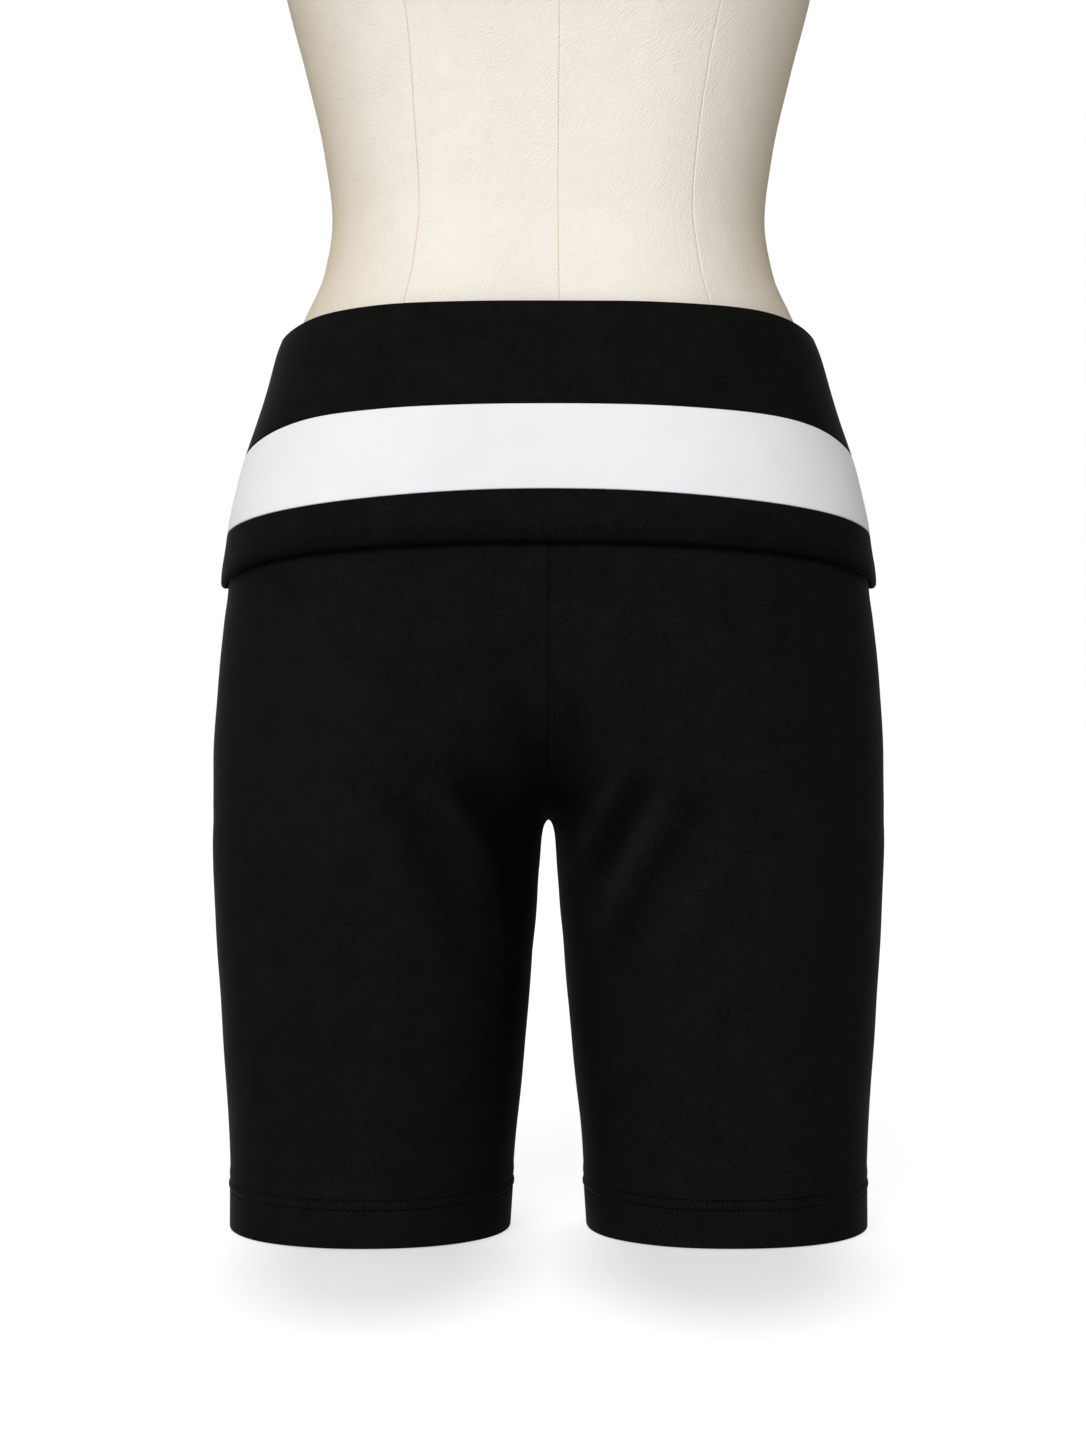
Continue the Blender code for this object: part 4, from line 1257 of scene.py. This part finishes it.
def form_torso(settings):
    """The form from the top of the thighs to the neck, with the cover's seams in it."""
    rim = NECK_RIM
    z = np.concatenate([
        spread((FORM_SPLIT + 0.0003, 0.470, 0.960, NECK_BASE), 0.0060)[:-1],
        spread((NECK_BASE, FORM_TOP - rim), 0.0060)[:-1],
        FORM_TOP - rim + rim * np.sin(np.linspace(0.0, math.pi / 2.0, 7)),
    ])
    seams = form_seams(z)
    wide = (0.0, 0.0016, 0.0032, 0.0054, 0.0090)
    columns, seam_columns = [], []
    for here, after in zip(seams, [*seams[1:], seams[0] + 4.0]):
        span = after - here
        between = np.linspace(0.0, 1.0, math.ceil(span.max() / FORM_STEP) + 1)[1:-1]
        seam_columns.append(len(columns))
        columns += [here + w for w in wide]
        columns += [here + wide[-1] + (span - 2.0 * wide[-1]) * share for share in between]
        columns += [after - w for w in wide[:0:-1]]
    turns = np.array(columns).T % 4.0
    skin, normal = body_points(turns, z[:, None], form_clearance(z)[:, None])
    around, girth = lengths_round(skin)
    relief = np.zeros(around.shape)
    for column in seam_columns:
        away = around - around[:, column:column + 1]
        away = away - girth * np.round(away / girth)
        relief -= FORM_SEAM_DEPTH * bump(away, FORM_SEAM_WIDTH / 2.0)
        relief += FORM_SEAM_RIDGE * bump(away - 0.0013, 0.0007)
    relief *= np.interp(z, (FORM_TOP - 3.0 * rim, FORM_TOP - rim), (1.0, 0.0))[:, None]
    rounding = rounded_in(z - FORM_TOP + rim, rim)
    points = skin + normal * (relief - rounding[:, None])[..., None]
    piece = form_cover("form_cover_torso", points, 1.0, 0.0080, settings)
    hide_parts("form_torso")
    return piece


def form_thigh(side_name, settings):
    """One thigh base, with a rounded edge and a board let into its sole."""
    edge = SOLE_EDGE
    z = np.concatenate([
        edge - edge * np.cos(np.linspace(0.0, math.pi / 2.0, 6)),
        spread((edge, 0.032, 0.040, FORM_SPLIT), 0.008)[1:],
    ])
    skin, normal = body_points(np.arange(0.0, 2.0, 0.02), z[:, None], form_clearance(z)[:, None])
    points = skin - normal * rounded_in(edge - z, edge)[:, None, None]
    points[..., 2] = z[:, None]
    points[..., 0] = np.maximum(points[..., 0], SEAM_LINE)
    points = points * side_mirror(side_name)
    piece = form_cover(f"form_cover_thigh_{side_name}", points, -1.0, 0.0100, settings)
    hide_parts(f"form_thigh_{side_name}")
    return piece


def form_seam_stitches(settings):
    """The fine stitches that close the cover's seams, each a small grain of thread."""
    z = np.linspace(0.470, NECK_BASE, 1200)
    rows = []
    for turns in form_seams(z) % 4.0:
        line, outward = body_points(turns, z, form_clearance(z))
        line = line - outward * FORM_SEAM_DEPTH * 0.75
        rows.append(sewn_line(line, outward, settings.stitch_pitch))
    half_sizes = (0.00017, 0.00020, settings.stitch_pitch * 0.36)
    thread = get_material("spun_thread_ecru", sewing_thread, "#a3896a", "#c9b392")
    return stitch_piece("form_seam_stitches", rows, half_sizes, thread)


# ---------------------------------------------------------------- the stage

STUDIO_REACH = 14.0       # radius of the floor and of the shell round it


def stage_object(name, mesh, material, seen, lights):
    """A part of the studio.

    seen and lights say whether the camera sees it, and whether its light reaches the form.
    """
    data = bpy.data.meshes.new(name)
    mesh.to_mesh(data)
    mesh.free()
    data.materials.append(material)
    data.shade_smooth()
    made = bpy.data.objects.new(name, data)
    bpy.context.scene.collection.objects.link(made)
    made.visible_camera = seen
    made.visible_diffuse = made.visible_glossy = lights
    made.visible_transmission = made.visible_volume_scatter = made.visible_shadow = False


def studio(settings):
    """A wide white floor and a white shell far round it, which only the camera sees.

    What lights the form from below is a greyer floor just under the white one, so that the
    studio's white can be set without washing out the shading on the form.
    """
    for name, base, glow, seen, depth in (
        ("studio_floor", "#a3a3a3", settings.floor_glow, True, 0.0),
        ("bounce_floor", "#b4b4b4", settings.bounce, False, -0.001),
        ("studio_backdrop", "#000000", 1.0, True, 0.0),
    ):
        mesh = bmesh.new()
        if name == "studio_backdrop":
            bmesh.ops.create_uvsphere(mesh, u_segments=48, v_segments=24, radius=STUDIO_REACH)
            bmesh.ops.reverse_faces(mesh, faces=mesh.faces)
        else:
            bmesh.ops.create_circle(mesh, cap_ends=True, radius=STUDIO_REACH, segments=96)
            bmesh.ops.translate(mesh, vec=(0.0, 0.0, depth), verts=mesh.verts)
        material = get_material(
            f"lit_vinyl_{name}", lit_vinyl, base, glow, name == "studio_floor"
        )
        stage_object(name, mesh, material, seen, not seen)


LIGHTS = (
    # name, where it comes from, strength, how wide it is in degrees
    ("front", -0.22, -1.0, 0.55, 2.33, 36.0),
    ("front_left", -1.0, -1.0, 0.60, 0.42, 50.0),
    ("right", 1.0, -0.15, 0.40, 0.20, 40.0),
    ("behind_above", -0.25, 0.8, 1.0, 1.2, 70.0),
)


def studio_lights(settings):
    """A bright wall far behind, a dim room in front, and broad, soft lights."""
    world = bpy.data.worlds.new("studio_room")
    world.use_nodes = True
    tree = world.node_tree
    direction = add_node(tree, "TexCoord", output="Generated")
    backwards = add_node(tree, "SeparateXYZ", {"Vector": direction}, "Y")
    strength = add_node(tree, "MapRange", {
        "Value": backwards, "From Min": -0.1, "From Max": 0.3,
        "To Min": settings.room, "To Max": settings.wall,
    })
    white = (1.0, 1.0, 1.0, 1.0)
    set_inputs(tree, tree.nodes["Background"], {"Color": white, "Strength": strength})
    bpy.context.scene.world = world
    for name, *source, power, width in LIGHTS:
        data = bpy.data.lights.new(name, "SUN")
        data.energy, data.angle = power, math.radians(width)
        lamp = bpy.data.objects.new(name, data)
        lamp.rotation_euler = (-Vector(source)).to_track_quat("-Z", "Y").to_euler()
        bpy.context.scene.collection.objects.link(lamp)


def photo_camera(settings):
    """The level camera in front, a little to the wearer's right."""
    data = bpy.data.cameras.new("camera")
    data.sensor_width, data.lens = 36.0, settings.lens
    data.clip_start, data.clip_end = 0.05, 50.0
    camera = bpy.data.objects.new("camera", data)
    camera.location = (-0.003, -settings.distance, settings.height)
    camera.rotation_euler = (math.pi / 2.0, 0.0, 0.0)
    bpy.context.scene.collection.objects.link(camera)
    bpy.context.scene.camera = camera


# ---------------------------------------------------------------- operators

class BIKESHORTS_OT_stage(bpy.types.Operator):
    """Set up the camera, the white studio and the lights"""

    bl_idname = "bikeshorts.stage"
    bl_label = "Stage"

    def execute(self, context):
        settings = context.scene.shorts_stage
        photo_camera(settings)
        studio(settings)
        studio_lights(settings)
        context.scene.view_settings.view_transform = "Standard"
        return {"FINISHED"}


class BIKESHORTS_OT_dress_form(bpy.types.Operator):
    """Model the dress form: torso, two thigh bases and the cover's seams"""

    bl_idname = "bikeshorts.dress_form"
    bl_label = "Dress form"

    def execute(self, context):
        settings = context.scene.shorts_form
        form_torso(settings)
        for side_name in ("left", "right"):
            form_thigh(side_name, settings)
        form_seam_stitches(settings)
        return {"FINISHED"}


class BIKESHORTS_OT_leg_panels(bpy.types.Operator):
    """Model the four leg panels with their turned hems and creases"""

    bl_idname = "bikeshorts.leg_panels"
    bl_label = "Leg panels"

    def execute(self, context):
        for face in ("front", "back"):
            for side_name in ("left", "right"):
                leg_panel(face, side_name, context.scene.shorts_cloth)
        return {"FINISHED"}


class BIKESHORTS_OT_hem_stitches(bpy.types.Operator):
    """Sew the hems with a twin-needle coverstitch"""

    bl_idname = "bikeshorts.hem_stitches"
    bl_label = "Hem stitches"

    def execute(self, context):
        for side_name in ("left", "right"):
            hem_stitches(side_name, context.scene.shorts_cloth)
        return {"FINISHED"}


class BIKESHORTS_OT_waistband(bpy.types.Operator):
    """Model the folded-over waistband: black tube, pale band and lower strip"""

    bl_idname = "bikeshorts.waistband"
    bl_label = "Waistband"

    def execute(self, context):
        settings = context.scene.shorts_cloth
        fold_over_waistband(settings)
        pale_contrast_band(settings)
        lower_strip(settings)
        return {"FINISHED"}


class BIKESHORTS_PT_panel(bpy.types.Panel):
    """Lists the shorts' settings and the operators that model them"""

    bl_idname = "BIKESHORTS_PT_panel"
    bl_label = "Bike shorts"
    bl_space_type = "VIEW_3D"
    bl_region_type = "UI"
    bl_category = "Bike shorts"

    def draw(self, context):
        for group in (getattr(context.scene, name) for name in GROUPS):
            box = self.layout.box()
            for name in group.bl_rna.properties.keys():
                if name not in ("rna_type", "name"):
                    box.prop(group, name)
        for operator in OPERATORS:
            self.layout.operator(operator.bl_idname)


OPERATORS = (
    BIKESHORTS_OT_stage, BIKESHORTS_OT_dress_form, BIKESHORTS_OT_leg_panels,
    BIKESHORTS_OT_hem_stitches, BIKESHORTS_OT_waistband,
)
GROUPS = {
    "shorts_cloth": ShortsSettings, "shorts_form": FormSettings, "shorts_stage": StageSettings,
}


def register():
    for group in GROUPS.values():
        bpy.utils.register_class(group)
    for name, group in GROUPS.items():
        setattr(bpy.types.Scene, name, bpy.props.PointerProperty(type=group))
    for made in (*OPERATORS, BIKESHORTS_PT_panel):
        bpy.utils.register_class(made)


def unregister():
    for made in (BIKESHORTS_PT_panel, *reversed(OPERATORS)):
        bpy.utils.unregister_class(made)
    for name in GROUPS:
        delattr(bpy.types.Scene, name)
    for group in reversed(list(GROUPS.values())):
        bpy.utils.unregister_class(group)


def main():
    """Model everything."""
    register()
    bpy.ops.bikeshorts.stage()
    bpy.ops.bikeshorts.dress_form()
    bpy.ops.bikeshorts.leg_panels()
    bpy.ops.bikeshorts.hem_stitches()
    bpy.ops.bikeshorts.waistband()


if __name__ == "__main__":
    main()
